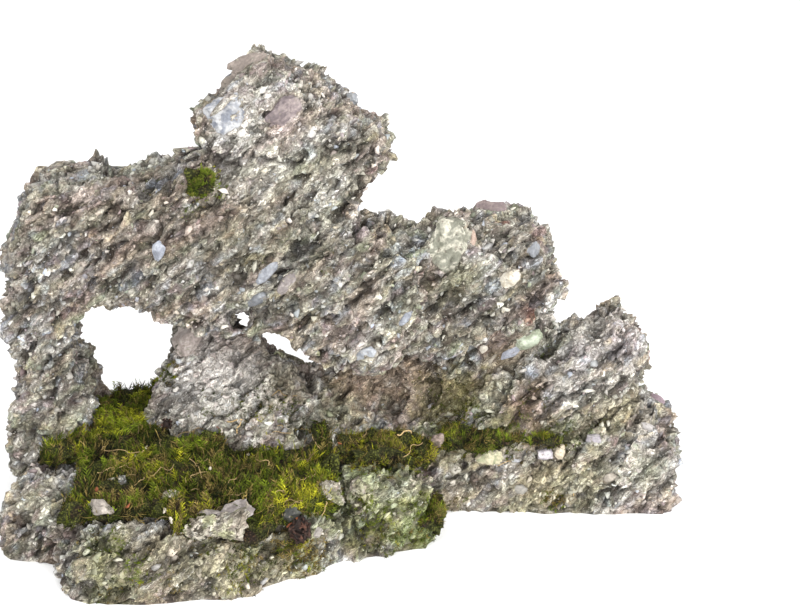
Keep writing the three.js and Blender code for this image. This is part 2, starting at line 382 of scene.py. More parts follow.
class MossSettings(PropertyGroup):
    frond_length: length("Frond length", "Length of a long frond", 13.5)
    shoot_length: length("Shoot length", "Length of a short shoot", 6.5)
    bright: colour("Bright", "The youngest fronds", "b0ad2c")
    fresh: colour("Fresh", "Bright fronds that are greener", "86992a")
    green: colour("Green", "Fresh fronds", "59661a")
    deep: colour("Deep", "Old shoots", "1f260c")
    dry: colour("Dry", "Shoots that have dried", "94824a")
    soil: colour("Soil", "The soil under the moss", "2e231a")


class LitterSettings(PropertyGroup):
    bark: colour("Bark", "Bark chips", "2b201c")
    straw: colour("Straw", "Dry stems and needles", "a08a63")
    flake: colour("Flake", "Orange flakes", "8a5236")
    crumb: colour("Crumb", "Pale crumbs of stone and leaf", "c4bdb0")
    loose_stems: number("Loose stems", "How many short dry stems lie in the moss", 45)
    bark_scales: number("Bark scales", "How many scales a chip of bark has split into", 70)


class StageSettings(PropertyGroup):
    floor: colour("Floor", "The floor", "f4f4f4")
    sky: FloatProperty(name="Sky", description="Strength of the light from all round", default=1.06)
    key: FloatProperty(name="Key", description="Power of the main lamp", default=16.0, unit="POWER")
    front: FloatProperty(name="Front", description="Power of the low front lamp", default=24.0,
                         unit="POWER")
    side: FloatProperty(name="Side", description="Power of the lamp at the right", default=23.0,
                        unit="POWER")


def settings(name):
    """One group of the scene's settings."""
    return getattr(bpy.context.scene, "mossy_rock_" + name)


# Where the stone is tinted: the middle in the photograph's pixels, the radius in millimetres, the
# tint and how strong it is at most

TINTS = {
    "algae": linear("6c7a3a"),
    "pale algae": linear("98997a"),
    "lichen": linear("b4b89e"),
    "brown": linear("6e5647"),
    "pale brown": linear("a3907f"),
    "mossy": linear("9f9a68"),
    "rust": linear("6b3424"),
    "pink": linear("a89896"),
    "lilac": linear("a79fae"),
    # A dark tint: a dark stain in some patches, and painted shade in the cracks and the dark hollow by
    # the arm.
    "dark stain and painted shade": linear("3e3732"),
    "warm": linear("a2947c"),
    # A pale tint: the stone's own pale colour, and painted light where shaded places are made
    # brighter.
    "pale stone and painted light": linear("d6d3d0"),
}

# Besides the stone's own stains, some patches paint shade into hollows and under the arch, and some
# paint light onto shaded places.
PATCHES = [
    ((300, 360), 18, "pale algae", 0.6),
    # The recess under the arm: its own green-brown colour, made paler with painted light in its shade.
    ((455, 402), 26, "mossy", 0.75),
    ((420, 385), 22, "pale brown", 0.7),
    ((360, 385), 20, "pale brown", 0.6),
    ((335, 405), 22, "mossy", 0.4),
    ((500, 350), 16, "brown", 0.7),
    ((478, 305), 20, "dark stain and painted shade", 0.45),
    ((532, 316), 8, "rust", 0.85),
    ((506, 222), 6, "rust", 0.8),
    ((455, 280), 14, "pale algae", 0.55),
    ((470, 390), 14, "mossy", 0.5),
    # The brown groove between the horn and the right base: its own colour, darkened with painted
    # shade.
    ((525, 415), 20, "brown", 0.7),
    ((575, 352), 14, "lilac", 0.55),
    ((618, 346), 12, "lilac", 0.5),
    ((560, 345), 9, "algae", 0.45),
    ((620, 408), 18, "warm", 0.5),
    ((545, 478), 34, "warm", 0.35),
    ((645, 470), 26, "pale stone and painted light", 0.4),
    ((290, 110), 62, "pale stone and painted light", 0.13),
    ((400, 500), 24, "lichen", 0.3),
    ((395, 505), 30, "algae", 0.35),
    ((370, 490), 15, "lichen", 0.4),
    ((420, 530), 20, "algae", 0.5),
    ((380, 540), 16, "algae", 0.4),
    ((300, 545), 22, "algae", 0.55),
    ((240, 555), 26, "pale algae", 0.5),
    ((330, 520), 12, "lichen", 0.5),
    ((150, 560), 28, "pale algae", 0.4),
    ((260, 580), 40, "warm", 0.35),
    ((215, 515), 10, "pink", 0.6),
    ((200, 575), 22, "lichen", 0.35),
    ((110, 590), 20, "algae", 0.4),
    ((230, 345), 26, "pink", 0.55),
    ((185, 340), 14, "pink", 0.5),
    ((290, 390), 16, "pink", 0.4),
    ((240, 400), 14, "pale stone and painted light", 0.4),
    ((230, 115), 18, "pale stone and painted light", 0.45),
    ((285, 115), 14, "pink", 0.6),
    ((345, 130), 14, "dark stain and painted shade", 0.25),
    ((250, 160), 22, "pale stone and painted light", 0.35),
    ((215, 215), 26, "brown", 0.28),
    ((130, 230), 40, "brown", 0.25),
    ((290, 250), 50, "dark stain and painted shade", 0.36),
    ((350, 330), 14, "pink", 0.4),
    ((382, 355), 9, "pale stone and painted light", 0.5),
    ((455, 500), 12, "warm", 0.6),
    ((550, 498), 10, "warm", 0.6),
    ((160, 185), 20, "dark stain and painted shade", 0.3),
    ((270, 240), 40, "pale algae", 0.12),
    ((395, 290), 30, "pale algae", 0.12),
    ((330, 180), 30, "pale algae", 0.15),
    # Painted shade in the dark hollow right of the arm's front block.
    ((442, 300), 12, "dark stain and painted shade", 0.5),
    ((456, 292), 7, "dark stain and painted shade", 0.85),
    ((360, 470), 22, "algae", 0.6),
    ((350, 520), 16, "algae", 0.45),
    ((650, 470), 14, "algae", 0.35),
    ((590, 425), 26, "algae", 0.3),
    ((250, 555), 14, "algae", 0.5),
    ((105, 550), 14, "algae", 0.55),
    ((290, 545), 12, "brown", 0.6),
    ((235, 405), 20, "algae", 0.25),
    # Painted light on the pillar in the arm's shade, over its own pale colour.
    ((210, 375), 34, "pale stone and painted light", 0.85),
    ((235, 362), 22, "pale stone and painted light", 0.7),
    ((290, 370), 20, "pale stone and painted light", 0.3),
    # Painted shade under the arch: a dark brown band along the slot's lower edge.
    ((250, 338), 12, "brown", 0.75),
    ((285, 354), 12, "brown", 0.75),
    ((312, 370), 12, "brown", 0.65),
    ((280, 386), 15, "mossy", 0.5),
    # Painted light on the lower horn, over its own pale colour.
    ((590, 340), 34, "pale stone and painted light", 0.6),
    # Painted light in the recess under the arm.
    ((385, 375), 26, "pale brown", 0.7),
    ((200, 560), 45, "brown", 0.25),
    ((120, 560), 30, "brown", 0.3),
    ((430, 522), 24, "algae", 0.6),
    ((520, 255), 40, "dark stain and painted shade", 0.18),
    ((228, 317), 9, "dark stain and painted shade", 0.5),
    ((430, 432), 12, "algae", 0.5),
    ((365, 500), 5, "mossy", 0.8),
    ((386, 515), 6, "mossy", 0.8),
    ((404, 503), 5, "mossy", 0.7),
    ((372, 531), 6, "mossy", 0.8),
    ((350, 547), 6, "mossy", 0.7),
    ((412, 541), 6, "mossy", 0.8),
    ((429, 498), 6, "mossy", 0.7),
    ((390, 481), 4, "dark stain and painted shade", 0.6),
    ((376, 489), 4, "dark stain and painted shade", 0.5),
    ((420, 516), 4, "dark stain and painted shade", 0.6),
    ((396, 535), 4, "dark stain and painted shade", 0.5),
    # More painted light on the pillar's foot.
    ((205, 390), 22, "pale stone and painted light", 0.6),
    ((250, 390), 16, "pale stone and painted light", 0.5),
    ((500, 432), 14, "algae", 0.5),
    ((560, 430), 12, "algae", 0.4),
    ((385, 462), 16, "algae", 0.6),
    ((450, 455), 12, "mossy", 0.4),
]

# Places where the stone is worn smooth: pixel, radius in millimetres and how smooth
WORN = [((245, 350), 34, 0.6), ((190, 340), 20, 0.7), ((300, 385), 26, 0.55), ((220, 400), 26, 0.5),
        ((360, 400), 22, 0.4), ((450, 400), 26, 0.5), ((385, 500), 22, 0.4), ((505, 355), 16, 0.5)]

# Cracks: the line in pixels, its width and its depth in millimetres
CRACKS = [
    (((336, 458), (341, 482), (345, 500), (347, 520), (345, 540)), 1.9, 6.0),
    (((347, 508), (354, 524), (356, 545)), 1.9, 4.5),
    (((415, 262), (424, 300), (428, 330)), 2.2, 3.0),
    (((205, 150), (225, 165), (262, 160), (300, 165)), 2.0, 2.5),
    (((200, 528), (222, 532), (240, 524)), 1.8, 2.5),
]

# Ways through the stone that stay open: a pixel in the way and the radius in millimetres
OPEN_WAYS = [((272, 337), 6.5), ((287, 346), 6.5), ((302, 355), 6.0), ((244, 321), 6.0)]

# Where the skin lies deeper than its solid, or further out where the depth is below zero: a pixel,
# the radius and the depth in millimetres
HOLLOWS = [((393, 150), 12, 1.5), ((345, 88), 16, -2.6), ((375, 108), 12, -2.0),
           ((546, 216), 12, 3.0), ((490, 208), 12, -1.5), ((453, 292), 9, 5.5),
           ((438, 325), 9, 4.0), ((553, 312), 12, 7.0), ((642, 335), 14, -2.6),
           ((674, 425), 14, -2.2), ((352, 205), 9, 2.0), ((480, 352), 8, 2.0),
           ((300, 532), 8, 3.0), ((265, 52), 10, -1.0), ((513, 199), 9, 3.5)]

# The crown's steep left edge, from its upper to its lower end, in pixels
CROWN_EDGE = ((208, 80), (199, 95), (196, 108), (197, 141), (204, 150))

# A share so small that it counts as none
LEAST_SHARE = 1e-6

# The stone's relief: how far it stands out or in at most, how deep it lies under a large clast, and
# the share of its small clasts that have fallen out
MOST_RELIEF = 6.5 * MM
BED_DEPTH = 0.3 * MM
FALLEN_OUT = 0.13

# How far the stone's flat underside reaches up, how near moss keeps the grains off, and the facets
# in which the moss is measured for it
UNDERSIDE = 1.5 * MM
UNDER_MOSS = 3.0 * MM
COVER_FACET = 2.5 * MM


def trimmed_crown(points):
    """The points, with those left of the crown's edge moved onto it."""
    columns, rows, pixel_size = pixels_of(points)
    edge = np.array(CROWN_EDGE)
    beyond = np.maximum(np.interp(rows, edge[:, 1], edge[:, 0]) - columns, 0.0)
    beyond = np.where((rows > edge[0, 1]) & (rows < edge[-1, 1]), beyond, 0.0)
    return points + (beyond * pixel_size)[:, None] * np.array(view_axes()[0])


def bed_normal(dip):
    """The direction across the beds, which rise towards +X."""
    return Vector((-math.sin(dip), 0.2, math.cos(dip))).normalized()


def luck_of(place):
    """A repeatable number from 0 to 1 for a place."""
    return math.sin(12.99 * place.x + 78.23 * place.y + 37.72 * place.z) * 43758.55 % 1.0


# How far the stone's forms wander and over what length, how flat they are along the beds, and what
# sets the plates, the clasts and the grains apart
WANDER = 0.003
WANDER_LENGTH = 0.013
FLATTENED = 1.4
PLATES_FLATTENED = 1.6
PLATE_SEED, CLAST_SEED, GRAIN_SEED = 5.3, 3.7, 9.1

# How far a bed wanders, over what length, how long it lasts, and where in it the ledge stands out most
BED_WANDER = 0.006
BED_WANDER_LENGTH = 0.04
BED_LENGTH = 0.045
LEDGE_AT = 0.75


class Relief:
    """The roughness of the stone: how far a point of its skin stands out, in metres, and what is
    there: the clast's luck and rim, and the grain's luck."""

    def __init__(self, stone):
        self.stone = stone
        self.across = bed_normal(stone.bed_dip)

    def cell(self, point, size, seed):
        """How far a point is from its cell's rim, from 0 to 1, and the cell's luck and slope."""
        spot = point / size + Vector((seed, seed, seed))
        apart, feet = noise.voronoi(spot)
        foot = feet[0]
        away = spot - foot
        slope = (luck_of(foot.yzx) - 0.5) * away.x + (luck_of(foot.zxy) - 0.5) * away.y
        slope += (luck_of(foot.zyx) - 0.5) * away.z
        return min((apart[1] - apart[0]) / 0.3, 1.0), luck_of(foot), slope

    def at(self, point, worn):
        """The relief at a point where the stone is worn smooth by a share."""
        stone = self.stone
        rough = 1.0 - worn
        warped = point + WANDER * noise.noise_vector(point / WANDER_LENGTH)
        flat = warped + FLATTENED * warped.dot(self.across) * self.across
        flatter = warped + PLATES_FLATTENED * warped.dot(self.across) * self.across
        _, plate, tilt = self.cell(flatter, stone.plate_length, PLATE_SEED)
        rim, luck, lean = self.cell(flat, stone.clast_length, CLAST_SEED)
        _, grit, tip = self.cell(flat, stone.grain_length, GRAIN_SEED)
        wander = BED_WANDER * noise.noise(point / BED_WANDER_LENGTH)
        step = (point.dot(self.across) + wander) / stone.bed_thickness % 1.0
        ledge = min(step / LEDGE_AT, 1.0) - max((step - LEDGE_AT) / (1 - LEDGE_AT), 0.0)
        bedded = min(max(0.5 + 1.3 * noise.noise(point / BED_LENGTH + self.across), 0.0), 1.0)
        pit = 1.0 if luck < FALLEN_OUT else 0.0
        height = stone.knob_height * noise.fractal(point / stone.knob_length, 0.9, 2.1, 3)
        height += (1.0 - 0.6 * worn) * stone.plate_height * (plate - 0.5 + 1.7 * tilt)
        height += rough * stone.clast_height * (luck - 0.5 + 1.9 * lean - 0.5 * (1.0 - rim) - pit)
        height += rough * stone.grain_height * (grit - 0.5 + 1.6 * tip)
        height += stone.bed_ledge * bedded * rough * (ledge - 0.6)
        return height, luck, rim, grit


def off_sight(points, pixel):
    """How far points are from the camera's line through a pixel."""
    along = np.array(sight(pixel))
    away = points - np.array(camera_place())
    return np.linalg.norm(away - (away @ along)[:, None] * along, axis=1)


def near_patch(points, middle, radius, broken=0.0):
    """1 near a place, falling to 0 at a radius in millimetres, with a broken edge."""
    far = np.linalg.norm(points - np.array(middle), axis=1) / (radius * MM)
    return smooth(-far + broken, -1.1, -0.2)


def crack_depth(skin):
    """How deep the cracks are at each corner of the skin, in metres."""
    deep = np.zeros(len(skin.points))
    for line, width, most in CRACKS:
        spots = [np.array(skin.seen(pixel)[0]) for pixel in line]
        for start, end in zip(spots, spots[1:]):
            along = end - start
            share = np.clip((skin.points - start) @ along / (along @ along), 0.0, 1.0)
            far = np.linalg.norm(skin.points - start - share[:, None] * along, axis=1)
            deep = np.maximum(deep, most * MM * smooth(-far / (width * MM), -1.0, -0.2))
    return deep


def clast_axes(normal, turn):
    """A clast's long, short and outward directions for a turn in the photograph's plane."""
    right, up, _ = view_axes()
    along = math.cos(math.radians(turn)) * right + math.sin(math.radians(turn)) * up
    third = normal.cross(along).normalized()
    return third.cross(normal), third, normal


def clast_beds(skin):
    """1 where a large clast is set into the skin, falling to 0 at its rim."""
    bedded = np.zeros(len(skin.points))
    for pixel, size, turn, *_ in CLASTS.values():
        place, normal, _ = skin.seen(pixel)
        away = skin.points - np.array(place)
        halves = (size[0], size[1], max(size))
        far = np.zeros(len(away))
        for axis, half in zip(clast_axes(normal, turn), halves):
            far += (away @ np.array(axis) / (0.5 * half * MM)) ** 2
        bedded = np.maximum(bedded, smooth(-np.sqrt(far), -1.25, -0.85))
    return bedded


def worn_share(skin):
    """How smooth the stone is worn at each corner of the skin."""
    worn = np.zeros(len(skin.points))
    for pixel, radius, most in WORN:
        worn = np.maximum(worn, most * near_patch(skin.points, skin.seen(pixel)[0], radius))
    return worn


def with_forms(skin, height):
    """Where the skin's corners lie with this relief, and with the hollows, the open ways, the
    crown's edge and the flat underside."""
    height = height.copy()
    for pixel, radius, depth in HOLLOWS:
        height -= depth * MM * near_patch(skin.points, skin.seen(pixel)[0], radius)
    for pixel, radius in OPEN_WAYS:
        clear = smooth(-off_sight(skin.points, pixel) / (radius * MM), -1.4, -0.95)
        height = height * (1 - clear) - 1.1 * np.abs(height) * clear
    on_ground = smooth(skin.points[:, 2], 0.0, 4 * MM)
    facing_down = smooth(-skin.normals[:, 2], 0.5, 0.9) * (1 - on_ground)
    height = height * (1 - facing_down)
    points = inside_box(trimmed_crown(skin.points) + skin.normals * height[:, None])
    points[:, 2] = np.where(facing_down > 0.5, 0.0, points[:, 2])
    return points


def nearest_of(points, places):
    """The number of the nearest point for each place."""
    tree = KDTree(len(points))
    for number, point in enumerate(points.tolist()):
        tree.insert(point, number)
    tree.balance()
    return [tree.find(place)[1] for place in places.tolist()]


def stone_skin():
    """The stone's rough skin as a mesh with its colours, in place of the plain solid."""
    stone = settings("stone")
    mesh = remeshed_node("rock", stone.facet, 3)
    skin = Surface(mesh)
    worn = worn_share(skin)
    relief = Relief(stone)
    found = np.array([relief.at(Vector(p), w) for p, w in zip(skin.points.tolist(), worn)])
    height = np.clip(found[:, 0], -MOST_RELIEF, MOST_RELIEF) - stone.worn_off
    bedded = clast_beds(skin)
    height = height * (1 - bedded) - (BED_DEPTH + stone.worn_off) * bedded - crack_depth(skin)
    points = with_forms(skin, height)
    move_corners(mesh, points)
    obj = new_object("stone_copy", mesh)
    fewer = obj.modifiers.new("Fewer facets", "DECIMATE")
    fewer.ratio = stone.triangles / len(skin.triangles)
    mesh = mesh_after_modifiers(obj)
    skin = Surface(mesh)
    nearest = nearest_of(points, skin.points)
    skin.worn = worn[nearest]
    skin.bedded = bedded[nearest]
    paint(mesh, "tint", stone_colours(skin, found[nearest], height[nearest]))
    return mesh, skin


def with_tint(tints, name, here):
    """Tints and their shares, with one more tint laid over them as far as here says."""
    tint, share = tints
    tint = mixed(tint, TINTS[name], here / np.maximum(here + share, LEAST_SHARE))
    return tint, share + here * (1 - share)


def tint_shares(skin):
    """For each corner of the skin, the tint of the patches there and how strong it is, with painted
    shade in the cracks.
    """
    broken = field(skin.points, 0.006) + 0.6 * field(skin.points, 0.0024)
    tints = np.zeros((len(skin.points), 3)), np.zeros(len(skin.points))
    for pixel, radius, name, most in PATCHES:
        here = most * near_patch(skin.points, skin.seen(pixel)[0], radius, 0.55 * broken)
        tints = with_tint(tints, name, here)
    wander = field(skin.points, 0.034, (5, 1, 9))
    low = smooth(-skin.points[:, 2], -0.12, -0.02)
    damp = 0.5 * low * smooth(wander + 0.35 * broken, 0.15, 0.55)
    tints = with_tint(tints, "pale algae", damp)
    # Painted shade: the cracks are darkened as deep as they go.
    painted_crack_shade = 0.75 * np.minimum(crack_depth(skin) / (3 * MM), 1.0)
    return with_tint(tints, "dark stain and painted shade", painted_crack_shade)


def streaks(skin):
    """A multiplier around one for each corner of the skin, in streaks along the beds."""
    stone = settings("stone")
    across = np.array(bed_normal(stone.bed_dip))
    drawn = skin.points + 2.6 * (skin.points @ across)[:, None] * across
    fine = field(drawn, 0.009)
    broad = field(drawn, 0.03, (4, 7, 2))
    damp = field(drawn, 0.024, (1, 9, 3))
    grey = np.mean(tuple(stone.cement))
    cool = np.array(tuple(stone.blue)) / grey
    warm = np.array(tuple(stone.mauve)) / grey * 1.35
    green = np.array(tuple(stone.olive)) / grey * 1.12
    tone = np.ones((len(fine), 3)) * (1.01 + 0.42 * fine + 0.2 * broad)[:, None]
    tone = tone * mixed(np.ones(3), cool, 0.7 * smooth(broad, 0.08, 0.4))
    tone = tone * mixed(np.ones(3), green, 0.32 * smooth(damp, -0.05, 0.35))
    return tone * mixed(np.ones(3), warm, 0.45 * smooth(-broad, 0.12, 0.45))


def stone_colours(skin, found, height):
    """The skin's colours: each clast's own, with painted shade in the grooves and hollows, and with
    the tints.
    """
    stone = settings("stone")
    luck, rim, grit = found[:, 1], found[:, 2], found[:, 3]
    order = [stone.dark, stone.cement, stone.pale, stone.mauve, stone.cement, stone.white,
             stone.blue, stone.tan, stone.olive, stone.pale, stone.cement]
    limits = [0.13, 0.34, 0.5, 0.58, 0.71, 0.75, 0.84, 0.89, 0.94, 0.98]
    palette = np.array([tuple(c) for c in order])
    clasts = palette[np.searchsorted(limits, luck)]
    grains = palette[np.searchsorted(limits, grit)]
    Made.tone = streaks(skin)
    colours = mixed(grains, clasts, 0.3 + 0.5 * rim) * Made.tone
    tint, share = Made.shares = tint_shares(skin)
    brightness = colours.mean(1, keepdims=True) / np.mean(tuple(stone.cement))
    colours = mixed(colours, tint * (0.45 + 0.55 * brightness), share)
    # Painted shade: the colour is darker where the skin lies low in its relief and its cracks, and
    # along the clasts' rims.
    deep = smooth(-height, 0.3 * MM, 3.6 * MM)
    return colours * (1 - 0.48 * deep - 0.14 * (1 - rim))[:, None]


def chip_shape(random, corners):
    """An angular chip of stone: the hull of a few corners."""
    bm = bmesh.new()
    for _ in range(corners):
        corner = Vector(random.normal(size=3)).normalized()
        bm.verts.new(corner * random.uniform(0.42, 0.56))
    hull = bmesh.ops.convex_hull(bm, input=bm.verts)
    spare = {item for key in ("geom_interior", "geom_unused") for item in hull[key]}
    bmesh.ops.delete(bm, geom=[item for item in spare if isinstance(item, bmesh.types.BMVert)])
    bmesh.ops.scale(bm, vec=(1.15, 0.8, 0.6), verts=bm.verts)
    return Shape(bm)


# The large clasts that stand out of the stone: pixel, size in millimetres, turn in degrees in the
# photograph's plane, main colour, second colour, how far the second one shows and how bumpy it is
CLASTS = {
    "clast_blue_slab": ((232, 112), (28, 19, 7), 38, "686c75", "9a9b9d", 0.7, 0.16),
    "clast_purple_slab": ((286, 112), (19, 15, 6), 60, "62585a", "857a78", 0.5, 0.18),
    "clast_peak": ((249, 62), (21, 9, 7), 44, "7b716a", "968c84", 0.4, 0.16),
    "clast_peak_low": ((230, 80), (12, 8, 6), 42, "7f766d", "9b9288", 0.4, 0.16),
    "clast_green_slab": ((448, 242), (28, 18, 9), 58, "66665a", "a5a294", 0.55, 0.2),
    "clast_cream": ((510, 279), (11, 9, 8), 48, "b1aca0", "9b9382", 0.4, 0.14),
    "clast_mauve_cap": ((490, 203), (16, 10, 16), 4, "6f6262", "8a7d79", 0.4, 0.10),
    "clast_green_lens": ((529, 342), (15, 10, 6), 12, "8c937e", "bcc4b2", 0.6, 0.08),
    "clast_mauve_nub": ((657, 399), (10, 9, 7), 20, "84737a", "988a91", 0.4, 0.10),
    "clast_cream_flat": ((490, 457), (14, 8, 5), -6, "aea78d", "86886c", 0.55, 0.14),
    "clast_lilac": ((545, 455), (8, 7, 5), 10, "7f7a80", "a8a3a6", 0.5, 0.12),
    "clast_tooth": ((560, 452), (8, 5, 5), 85, "bfb49f", "a89d88", 0.4, 0.12),
    "clast_pale": ((594, 439), (9, 7, 5), 15, "8c878c", "a6a2a4", 0.5, 0.10),
    "clast_step_pale": ((649, 427), (8, 6, 4), 30, "9c9896", "b4b0ad", 0.5, 0.10),
    "clast_pink": ((473, 238), (9, 4, 4), 75, "8f7c70", "a59688", 0.4, 0.12),
    "clast_horn_grey": ((535, 250), (8, 6, 4), 50, "66686c", "828488", 0.5, 0.08),
    "clast_arm_blue": ((157, 252), (10, 7, 4), 62, "757983", "9a9ea6", 0.5, 0.10),
    "clast_arm_dark": ((257, 300), (12, 6, 5), 48, "5f6266", "7b7e82", 0.5, 0.10),
    "clast_arm_long": ((268, 272), (18, 5, 4), 50, "6c6f75", "8a8d92", 0.5, 0.10),
    "clast_arm_flat": ((287, 283), (14, 6, 4), 46, "6e6765", "8c8582", 0.5, 0.12),
    "clast_arch_blue": ((405, 318), (9, 5, 4), 48, "696d75", "8b8f96", 0.6, 0.08),
    "clast_arch_pearl": ((365, 355), (12, 7, 4), 40, "72767c", "989b9f", 0.6, 0.08),
    "clast_white_chip": ((313, 131), (7, 4, 3), 62, "b2b0ab", "9c9a95", 0.3, 0.10),
    "clast_white_low": ((242, 133), (5, 4, 3), 20, "b2b0ab", "9c9a95", 0.3, 0.10),
    "clast_white_top": ((301, 66), (7, 5, 4), 40, "8f9195", "a9a9ab", 0.5, 0.12),
    "clast_shoulder": ((354, 97), (8, 6, 5), 30, "7c7f83", "96989a", 0.5, 0.14),
    "clast_pillar_block": ((187, 336), (20, 17, 9), 60, "9a8f89", "b3a9a3", 0.5, 0.12),
    "clast_lilac_flat": ((231, 512), (21, 12, 8), 8, "706966", "918a87", 0.5, 0.18),
    "clast_lip": ((208, 516), (14, 10, 8), 30, "6b6561", "8c8580", 0.5, 0.2),
    "clast_lip_left": ((102, 507), (9, 11, 7), 80, "7d766f", "a0988f", 0.5, 0.2),
    "clast_ledge_pink": ((437, 441), (8, 6, 5), 20, "6f6159", "8c7d72", 0.5, 0.32),
    "clast_lip_dark": ((289, 515), (8, 7, 6), 30, "1f201c", "36382f", 0.5, 0.3),
    "clast_lip_pale": ((318, 533), (7, 5, 4), 40, "85807a", "9b968e", 0.5, 0.25),
    "clast_stem_cream": ((484, 349), (6, 5, 4), 60, "b3ac9e", "c6c0b4", 0.4, 0.10),
    "clast_blue_strip": ((511, 353), (14, 5, 3), 35, "898c96", "a8aab0", 0.5, 0.08),
    "clast_base_pale": ((455, 470), (7, 5, 4), 20, "8c887c", "a39f94", 0.4, 0.12),
    "clast_base_grey": ((520, 490), (8, 6, 4), 10, "85827b", "9c9992", 0.4, 0.12),
    "clast_base_tan": ((610, 478), (8, 5, 4), 25, "938c81", "aba498", 0.4, 0.12),
}

# Lumps of the stone itself, at the terrace's front edge, at the crack and round the small holes:
# pixel, size in millimetres and turn in degrees
LUMPS = {
    "lump_lip": ((227, 523), (20, 12, 12), 6),
    "lump_lip_left": ((203, 526), (17, 11, 11), 16),
    "lump_moss": ((172, 494), (10, 7, 6), 20),
    "lump_hollow": ((330, 488), (12, 14, 8), 80),
    "lump_crack": ((360, 487), (10, 11, 8), 80),
    "lump_slot_top": ((297, 340), (9, 7, 8), 40),
    "lump_slot_low": ((282, 357), (9, 6, 8), 30),
    "lump_slot_end": ((311, 352), (7, 6, 6), 60),
    "lump_hole": ((231, 318), (9, 8, 8), 20),
}
LUMP_BUMPS = 0.3

# The angle between faces from which an edge stays sharp
LUMP_SHARP = math.radians(38)
SKIN_SHARP = math.radians(32)


def clast(name, ground):
    """One large clast with the finish that its colours give."""
    pixel, size, turn, main, second, share, bumps = CLASTS[name]
    obj = lump(name, ground, pixel, size, turn, bumps)
    obj.data.materials.append(clast_material(name, main, second, share))
    return finish_piece(obj)


def lump(name, ground, pixel, size, turn, bumps):
    """A piece of stone, broken flat on some sides and sunk into the stone or the moss."""
    place, _, face = ground.seen(pixel)
    normal = Vector(ground.normals[ground.triangles[face]].mean(0)).normalized()
    onto = Matrix(clast_axes(normal, turn)).transposed().to_4x4()
    half = [side * MM / 2 for side in size]
    bm = bmesh.new()
    bmesh.ops.create_icosphere(bm, subdivisions=4 if max(size) > 12 else 3, radius=1.0)
    seed = Vector((pixel[0], pixel[1], turn))
    random = np.random.default_rng(pixel)
    breaks = [Vector(random.normal(size=3)).normalized() for _ in range(9)]
    for vert in bm.verts:
        boxy = max(abs(c) for c in vert.co) ** -0.35
        rough = noise.fractal(1.2 * vert.co + seed, 0.8, 2.1, 4)
        vert.co *= boxy * (1.0 + 2.6 * bumps * rough)
        for flat in breaks:
            vert.co -= max(vert.co.dot(flat) - 0.86, 0.0) * flat
        fine = noise.fractal(4.5 * vert.co + seed, 0.9, 2.1, 3)
        vert.co *= 1.0 + 0.5 * bumps * fine
    bmesh.ops.scale(bm, vec=half, verts=bm.verts)
    bmesh.ops.transform(bm, matrix=Matrix.Translation(place - 0.35 * half[2] * normal) @ onto,
                        verts=bm.verts)
    mesh = mesh_of(name, bm)
    mesh.shade_smooth()
    mesh.set_sharp_from_angle(angle=LUMP_SHARP)
    return new_object(name, mesh)


# Materials

# How many grains of sand and how many mottles there are along a metre
GRAINS_PER_METRE = 500.0
BROAD_MOTTLE = 60.0
FINE_MOTTLE = 900.0


def node(tree, kind, inputs=(), **values):
    """A new node. inputs are (socket name or number, value or output socket) pairs."""
    made = tree.nodes.new(kind)
    for key, value in values.items():
        setattr(made, key, value)
    for key, value in inputs:
        if isinstance(value, bpy.types.NodeSocket):
            tree.links.new(value, made.inputs[key])
        else:
            made.inputs[key].default_value = value
    return made


def ramp(tree, factor, stops, interpolation="LINEAR"):
    """A colour ramp. stops are (place, colour) pairs."""
    made = node(tree, "ShaderNodeValToRGB", [(0, factor)])
    made.color_ramp.interpolation = interpolation
    while len(made.color_ramp.elements) < len(stops):
        made.color_ramp.elements.new(1.0)
    for element, (place, shade) in zip(made.color_ramp.elements, stops):
        element.position = place
        element.color = (*shade, 1.0)
    return made.outputs[0]


def blend(tree, kind, share, first, second):
    """Two colours mixed by a share, in one of the Mix node's ways."""
    made = node(tree, "ShaderNodeMix", data_type="RGBA", blend_type=kind, clamp_factor=True)
    for name, value in (("Factor_Float", share), ("A_Color", first), ("B_Color", second)):
        socket = next(s for s in made.inputs if s.identifier == name)
        if isinstance(value, bpy.types.NodeSocket):
            tree.links.new(value, socket)
        else:
            socket.default_value = value if name == "Factor_Float" else (*value, 1.0)
    return next(s for s in made.outputs if s.identifier == "Result_Color")


def sum_of(tree, kind, first, second):
    """Two numbers added or multiplied."""
    return node(tree, "ShaderNodeMath", [(0, first), (1, second)], operation=kind).outputs[0]


def vector_of(tree, kind, first, second):
    """Two vectors added, subtracted or multiplied."""
    return node(tree, "ShaderNodeVectorMath", [(0, first), (1, second)], operation=kind).outputs[0]


def clouds(tree, place, scale, detail=2.0, roughness=0.5, distortion=0.0):
    """The node of a noise texture at a place."""
    return node(tree, "ShaderNodeTexNoise",
                [("Vector", place), ("Scale", scale), ("Detail", detail), ("Roughness", roughness),
                 ("Distortion", distortion)])


def cells(tree, place, scale, feature="F1"):
    """The node of a texture of cells at a place."""
    return node(tree, "ShaderNodeTexVoronoi", [("Vector", place), ("Scale", scale)], feature=feature)


def group(name, inputs, outputs):
    """An empty node group with named sockets: (name, kind, default) and (name, kind)."""
    tree = bpy.data.node_groups.new(name, "ShaderNodeTree")
    for label, kind, value in inputs:
        socket = tree.interface.new_socket(name=label, in_out="INPUT", socket_type=kind)
        if value is not None:
            socket.default_value = value
    for label, kind in outputs:
        tree.interface.new_socket(name=label, in_out="OUTPUT", socket_type=kind)
    return tree, tree.nodes.new("NodeGroupInput"), tree.nodes.new("NodeGroupOutput")


